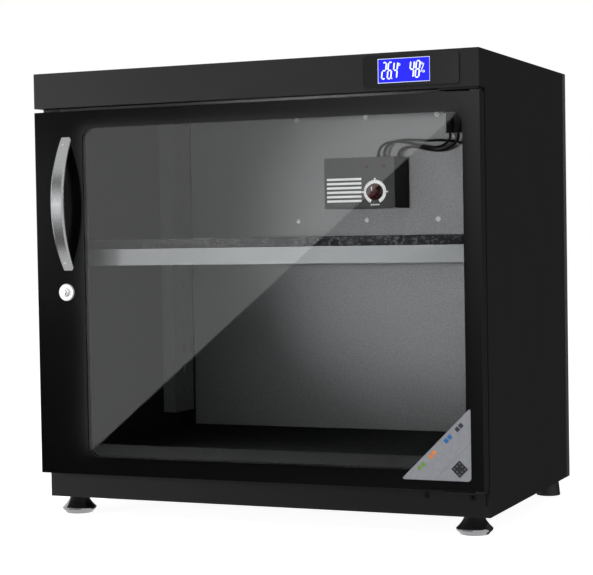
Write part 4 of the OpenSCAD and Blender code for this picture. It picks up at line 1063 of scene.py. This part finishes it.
# Dial knob
# A dark red moulded knob with a wide foot, a fluted grip, a slightly hollow top and a white
# pointer. Its shaft turns in the potentiometer behind the faceplate.
knob_red = grained("dark red knob", (0.030, 0.005, 0.005), (0.050, 0.009, 0.008), 700, 0.22, 0.06,
                   0.00001)
knob_front = knob_low.y
knob_back = knob_front + 0.010
shaft_end = knob_high.y
flute_angle = 5.625
knob = turned("red_knob", knob_red, dial_point, "Y",
              [(shaft_end, 0.0030), (knob_back, 0.0030), (knob_back, 0.0088),
               (knob_back - 0.0004, 0.0090), (knob_back - 0.0020, 0.0090),
               (knob_back - 0.0026, 0.0085), (knob_back - 0.0030, 0.0072),
               (knob_front + 0.0012, 0.0070), (knob_front + 0.0004, 0.0066),
               (knob_front, 0.0058), (knob_front + 0.0003, 0.0046)], 64)
pick(knob, lambda place, way: (knob_front + 0.0014 < place.y < knob_back - 0.0032
                               and abs(way.y) < 0.2
                               and int(math.degrees(math.atan2(place.z - dial_z,
                                                               place.x - dial_x))
                                       // flute_angle) % 2))
bpy.ops.mesh.extrude_region_shrink_fatten(TRANSFORM_OT_shrink_fatten={"value": -0.0004})
close(knob, 30)
pointer = block("pointer", print_white,
                (dial_x - 0.0005, knob_front - 0.00005, dial_z + 0.0014),
                (dial_x + 0.0005, knob_front + 0.0006, dial_z + 0.0056))
knob = join([knob, round_edges(pointer, 0.0001, 1)], "red_knob")
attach(knob, "knob")
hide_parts("dial_knob")

# Status lamps and what is inside the box
# Two dark red lamps stand on the board and look out of the faceplate. The potentiometer is a
# zinc plated can below them. The plugs' socket block and the humidity sensor are black mouldings.
lamp_red = grained("dark red lens", (0.060, 0.008, 0.007), (0.075, 0.010, 0.008), 600, 0.16, 0.04,
                   0.000005)
dress("status_lamps", lamp_red, 0.0002, 60)
dress("potentiometer", zinc_plate, 0.0003)
dress("socket_block", box_plastic, 0.0005)
dress("humidity_sensor", box_plastic, 0.0008)

# Cooling module
# A ceramic cooling tile sits in the back wall between a finned sink in the control box and a
# wider one under the vented rear cover, both of extruded aluminium.
ceramic_white = grained("tile ceramic", (0.62, 0.60, 0.55), (0.68, 0.66, 0.61), 500, 0.55, 0.1,
                        0.00002)
fin_aluminium = brushed_metal("extruded aluminium", (0.62, 0.63, 0.64), (0.50, 0.51, 0.52),
                              (900, 900, 20), 0.33, 0.15, 0.000008)
dress("cooling_tile", ceramic_white, 0.0002)
dress("cold_sink", fin_aluminium, 0.0002)
dress("hot_sink", fin_aluminium, 0.0002)

# Screws
# Screws with a cross recess. Six bright pan head ones go through the back wall into the rear
# cover and two hold the handle. Darker ones hold the back panel, the rear feet and the hinges.
screw_zinc = grained("bright zinc screw", (0.70, 0.70, 0.71), (0.80, 0.80, 0.81), 900, 0.35, 0.1,
                     0.000004, metallic=0.35)
screw_black = grained("black oxide screw", (0.022, 0.022, 0.024), (0.035, 0.035, 0.038), 900, 0.34,
                      0.1, 0.00001, metallic=0.8)


def make_screw(name, finish, head_radius, head_high, shank_radius, length, flat_head=False):
    """A screw that stands at the origin with its head towards -Y and its shank along +Y."""
    if flat_head:
        profile = [(0.0, head_radius * 0.97), (0.0001, head_radius), (head_high, shank_radius)]
    else:
        profile = [(-head_high, head_radius * 0.34), (-head_high * 0.93, head_radius * 0.62),
                   (-head_high * 0.70, head_radius * 0.86), (-head_high * 0.35, head_radius * 0.98),
                   (-head_high * 0.06, head_radius), (0.0, head_radius * 0.96), (0.0, shank_radius)]
    profile += [(length - shank_radius * 0.5, shank_radius), (length, shank_radius * 0.5)]
    screw = turned(name, finish, (0, 0, 0), "Y", profile, 32)
    top = 0.0 if flat_head else -head_high
    for turn in (0, math.pi / 2):
        arm = block("recess_arm", finish, (-head_radius * 0.13, top - 0.001, -head_radius * 0.55),
                    (head_radius * 0.13, top + head_radius * 0.34, head_radius * 0.55))
        pick(arm, lambda place, way: place.y > top, "VERT")
        bpy.ops.transform.resize(value=(1, 1, 0.5), center_override=(0, 0, 0))
        bpy.ops.object.mode_set(mode="OBJECT")
        arm.rotation_euler = (0, turn, 0)
        settle(arm)
        cut_with(screw, arm)
    return close(screw, 30)


spin_start, spin_step = 20, 37


def copy_to(screw, places):
    """Copies a screw to each place, turned about its own line and then to its direction."""
    copies = []
    for index, (place, direction) in enumerate(places):
        copy = screw.copy()
        copy.data = screw.data.copy()
        bpy.context.scene.collection.objects.link(copy)
        spin = Matrix.Rotation(math.radians(spin_step * index + spin_start), 4, "Y")
        turn = Vector((0, 1, 0)).rotation_difference(Vector(direction)).to_matrix().to_4x4()
        copy.matrix_world = Matrix.Translation(place) @ turn @ spin
        copies.append(settle(copy))
    bpy.data.objects.remove(screw, do_unlink=True)
    return copies


module_low, module_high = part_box("module_screws")
module_head = 0.0032
module_tall = 0.0024
module_columns = [module_low.x + module_head, (module_low.x + module_high.x) / 2,
                  module_high.x - module_head]
module_rows = [module_low.z + module_head, module_high.z - module_head]
bright_screw = make_screw("wall_screw", screw_zinc, module_head, module_tall, 0.0015,
                          module_high.y - wall_face)
wall_places = [((x, wall_face, z), (0, 1, 0)) for x in module_columns for z in module_rows]
wall_screws = join(copy_to(bright_screw, wall_places), "wall_screws")
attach(wall_screws, "cabinet")
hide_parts("module_screws")

back_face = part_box("back_panel")[1].y
case_x = 0.2284
case_heights = [0.0865, 0.2215, 0.3565]
rear_foot_x = 0.221
rear_foot_y = 0.1435
rear_foot_high = 0.019
foot_screw_z = rear_foot_high / 3
case_screw = make_screw("case_screw", screw_black, 0.0032, 0.0012, 0.0015, 0.006)
case_copies = copy_to(case_screw, [((side * case_x, back_face, z), (0, -1, 0))
                                   for side in (-1, 1) for z in case_heights])
foot_screw = make_screw("foot_screw", screw_black, 0.0032, 0.0024, 0.0015, 0.0150)
case_copies += copy_to(foot_screw, [((side * rear_foot_x, rear_foot_y, foot_screw_z), (0, 0, 1))
                                    for side in (-1, 1)])
case_fixings = join(case_copies, "case_fixings")
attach(case_fixings, "cabinet")
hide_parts("case_screws")

bracket_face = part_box("front_rail")[0].y - 0.002
lower_hinge_x, lower_hinge_z = (0.178, 0.224), 0.0385
upper_hinge_x, upper_hinge_y, upper_hinge_z = (0.205, 0.224), -0.1425, 0.422
hinge_screw = make_screw("hinge_screw", screw_black, 0.0036, 0.0014, 0.002, 0.007,
                         flat_head=True)
hinge_places = [((x, bracket_face, lower_hinge_z), (0, 1, 0)) for x in lower_hinge_x]
hinge_places += [((x, upper_hinge_y, upper_hinge_z), (0, 0, 1)) for x in upper_hinge_x]
hinge_fixings = join(copy_to(hinge_screw, hinge_places), "hinge_fixings")
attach(hinge_fixings, "cabinet")
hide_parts("hinge_screws")

pan_back = door_face + sheet
handle_screw = make_screw("handle_screw", screw_zinc, 0.0036, 0.0022, 0.002, 0.0038)
handle_fixings = join(copy_to(handle_screw, [((handle_x, pan_back, z), (0, -1, 0))
                                             for z in post_places]), "handle_fixings")
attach(handle_fixings, "door")
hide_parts("handle_screws")

# Power inlet
# A round low voltage socket in a black moulded body, with a bright pin in its middle.
dress("dc_inlet", box_plastic, 0.0004)
inlet_low, inlet_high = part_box("dc_inlet")
inlet_pin = turned("inlet_pin", screw_zinc, ((inlet_low.x + inlet_high.x) / 2, inlet_high.y,
                                             (inlet_low.z + inlet_high.z) / 2), "Y",
                   [(-0.0100, 0.00105), (-0.0024, 0.00105), (-0.0018, 0.0007)], 20)
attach(inlet_pin, "cabinet")

# Hinge bushes
# Black nylon bushes in the door's corners turn on the steel pins of the brackets.
nylon = grained("black nylon", (0.012, 0.012, 0.013), (0.02, 0.02, 0.021), 700, 0.45, 0.08, 0.00002)
dress("hinge_bushes", nylon, 0.0002)

# Front feet
# Each foot is turned from steel and chromed. It has a flared cone with a bright rolled rim, a
# flat sole, and a stud that screws into a nut in the base.
foot_chrome = brushed_metal("foot chrome", (0.33, 0.33, 0.34), (0.30, 0.30, 0.31),
                            (200, 200, 900), 0.09, 0.05, 0.000001)
foot_profile = [(0.0, 0.0128), (0.0002, 0.0140), (0.0008, 0.0146), (0.0022, 0.0156),
                (0.0034, 0.0170), (0.0042, 0.0177), (0.0050, 0.01795), (0.0056, 0.0180),
                (0.0062, 0.01775), (0.0068, 0.0170), (0.0090, 0.0148), (0.0120, 0.0124),
                (0.0150, 0.0106), (0.0172, 0.0096), (0.0180, 0.0092), (0.0184, 0.0086),
                (0.0184, 0.0040), (0.0325, 0.0040), (0.0330, 0.0034)]
for node, name, body in (("front_foot_left", "chrome_foot_left", "left_foot"),
                         ("front_foot_right", "chrome_foot_right", "right_foot")):
    low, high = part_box(node)
    foot = turned(name, foot_chrome, ((low.x + high.x) / 2, (low.y + high.y) / 2, 0), "Z",
                  foot_profile, 96)
    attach(foot, body)
    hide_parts(node)

# Rear feet and nuts
# Tapered feet of black rubber stand under the rear corners. Hexagon nuts for the front feet
# are pressed into the base flanges.
foot_rubber = grained("foot rubber", (0.009, 0.009, 0.0095), (0.015, 0.015, 0.016), 600, 0.65, 0.1,
                      0.00008)
dress("rear_foot_left", foot_rubber, 0.0008)
dress("rear_foot_right", foot_rubber, 0.0008)
dress("foot_nuts", zinc_plate, 0.0003)

# Floor
# A large plain white floor. It keeps the cabinet's soft shadow and shows white to the camera.
floor_white = grained("floor white", (0.60, 0.60, 0.60), (0.62, 0.62, 0.62), 4, 0.8, 0.05, 0.0)
floor_tree = floor_white.node_tree
floor_shader = shader_of(floor_white)
floor_shader.inputs["Emission Color"].default_value = (1, 1, 1, 1)
floor_shader.inputs["Specular IOR Level"].default_value = 0.0
floor_seen = floor_tree.nodes.new("ShaderNodeLightPath").outputs["Is Camera Ray"]
floor_tree.links.new(stretch_node(floor_tree, floor_seen, 0.0, 1.0, 0.0, 0.95),
                     floor_shader.inputs["Emission Strength"])
clear_selection()
bpy.ops.mesh.primitive_plane_add(size=14, location=(0, 0, -0.0002))
floor = named("studio_floor", floor_white)
floor.visible_glossy = False

# Light
# A room at a plain level, which the camera, mirrors and the glass see white. A soft lamp stands
# high in front, a small one low at the left brightens the handle's middle, and a narrow beam
# through the door lights the middle of the back wall.
world = bpy.data.worlds.new("white room")
bpy.context.scene.world = world
world.use_nodes = True
room = world.node_tree
room_path = room.nodes.new("ShaderNodeLightPath")
room_seen = math_node(room, "MAXIMUM", room_path.outputs["Is Glossy Ray"],
                      room_path.outputs["Is Transmission Ray"])
room_first = math_node(room, "LESS_THAN", room_path.outputs["Diffuse Depth"], 0.5)
room_white = math_node(room, "MAXIMUM", room_path.outputs["Is Camera Ray"],
                       math_node(room, "MULTIPLY", room_seen, room_first))
room_level = 0.20
room.links.new(stretch_node(room, room_white, 0.0, 1.0, room_level, 1.0),
               room.nodes["Background"].inputs["Strength"])
room.nodes["Background"].inputs["Color"].default_value = (1, 1, 1, 1)


def lamp_at(kind, name, place, aim, energy):
    clear_selection()
    bpy.ops.object.light_add(type=kind, location=place)
    lamp = bpy.context.object
    lamp.name = name
    lamp.data.energy = energy
    lamp.rotation_euler = (Vector(aim) - Vector(place)).to_track_quat("-Z", "Y").to_euler()
    lamp.visible_glossy = False
    return lamp.data


front_lamp = lamp_at("AREA", "front lamp", (-0.5, -1.0, 1.75), (0, -0.15, 0.25), 25)
front_lamp.shape = "DISK"
front_lamp.size = 0.7
side_lamp = lamp_at("AREA", "side lamp", (-1.40, -1.5, 0.34), (-0.2, -0.17, 0.30), 8)
side_lamp.shape = "DISK"
side_lamp.size = 0.40
bpy.context.object.visible_glossy = True  # it is what the handle mirrors
wall_beam = lamp_at("SPOT", "wall beam", (0.03, -1.75, 0.295), (0.065, 0.162, 0.285), 108)
wall_beam.spot_size = math.radians(13.6)
wall_beam.spot_blend = 1.0
wall_beam.shadow_soft_size = 0.03

# Reflection boards
# What the door mirrors. A dim board with a glow at its upper right stands before the enamel, a
# black one with the window's outline covers it for the glass, and a white one with a slanting
# edge covers the window's upper left half. A dark board stands beyond the right side.
board_y = -0.72
window_board_y = board_y + 0.004
slant_board_y = board_y + 0.005
glow_fall = 0.0137
inside_depth = 2.5
glass_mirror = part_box("door_glass")[0].y
mirror_eye = Vector((camera_place.x, 2 * glass_mirror - camera_place.y, camera_place.z))


def on_board(x, z, y):
    """Where the camera sees a point of the glass reflected, on a plane in front of the door."""
    point = Vector((x, glass_mirror, z))
    return mirror_eye + (point - mirror_eye) * ((y - mirror_eye.y) / (point.y - mirror_eye.y))


def upright(low_x, high_x, low_z, high_z, y):
    """The corners of a board that covers a rectangle of the door's mirror image."""
    return [on_board(low_x, low_z, y), on_board(high_x, low_z, y), on_board(high_x, high_z, y),
            on_board(low_x, high_z, y)]


def board(name, corners, finish):
    """A thin board that only shows in reflections."""
    mesh = bpy.data.meshes.new(name)
    mesh.from_pydata([tuple(corner) for corner in corners], [], [tuple(range(len(corners)))])
    obj = bpy.data.objects.new(name, mesh)
    bpy.context.scene.collection.objects.link(obj)
    mesh.materials.append(finish)
    obj.visible_camera = False
    obj.visible_diffuse = False
    obj.visible_shadow = False
    obj.visible_volume_scatter = False


def glow(name, level):
    """A board's own brightness: a number, or a point that it falls off from. What is behind the
    glass sees the white room instead."""
    finish = bpy.data.materials.new(name)
    finish.use_nodes = True
    tree = finish.node_tree
    tree.nodes.remove(tree.nodes["Principled BSDF"])
    light = tree.nodes.new("ShaderNodeEmission")
    inside = tree.nodes.new("ShaderNodeLightPath").outputs["Transmission Depth"]
    if not isinstance(level, (int, float)):
        away = tree.nodes.new("ShaderNodeVectorMath")
        away.operation = "DISTANCE"
        tree.links.new(place_node(tree), away.inputs[0])
        away.inputs[1].default_value = level
        level = math_node(tree, "POWER", glow_fall, away.outputs["Value"])
    deep = math_node(tree, "GREATER_THAN", inside, inside_depth)
    tree.links.new(stretch_node(tree, deep, 0.0, 1.0, level, 1.0), light.inputs["Strength"])
    tree.links.new(light.outputs["Emission"], tree.nodes["Material Output"].inputs["Surface"])
    return finish


board("front_board", upright(-0.42, 0.40, -0.12, 0.56, board_y),
      glow("front board", on_board(0.26, 0.43, board_y)))
board("window_board", upright(window_low.x, window_high.x, window_low.z, window_high.z,
                              window_board_y), glow("window board", 0.0))
board("slanting_board", [on_board(window_low.x, window_low.z + 0.0035, slant_board_y),
                         on_board(window_high.x - 0.004, window_high.z, slant_board_y),
                         on_board(window_low.x, window_high.z, slant_board_y)],
      glow("white board", 1.0))
board("right_board", [(0.1, 0.9, -1.0), (3.2, 0.9, -1.0), (3.2, 0.9, 2.5), (0.1, 0.9, 2.5)],
      glow("side board", 0.06))

bpy.context.scene.view_settings.view_transform = "Standard"
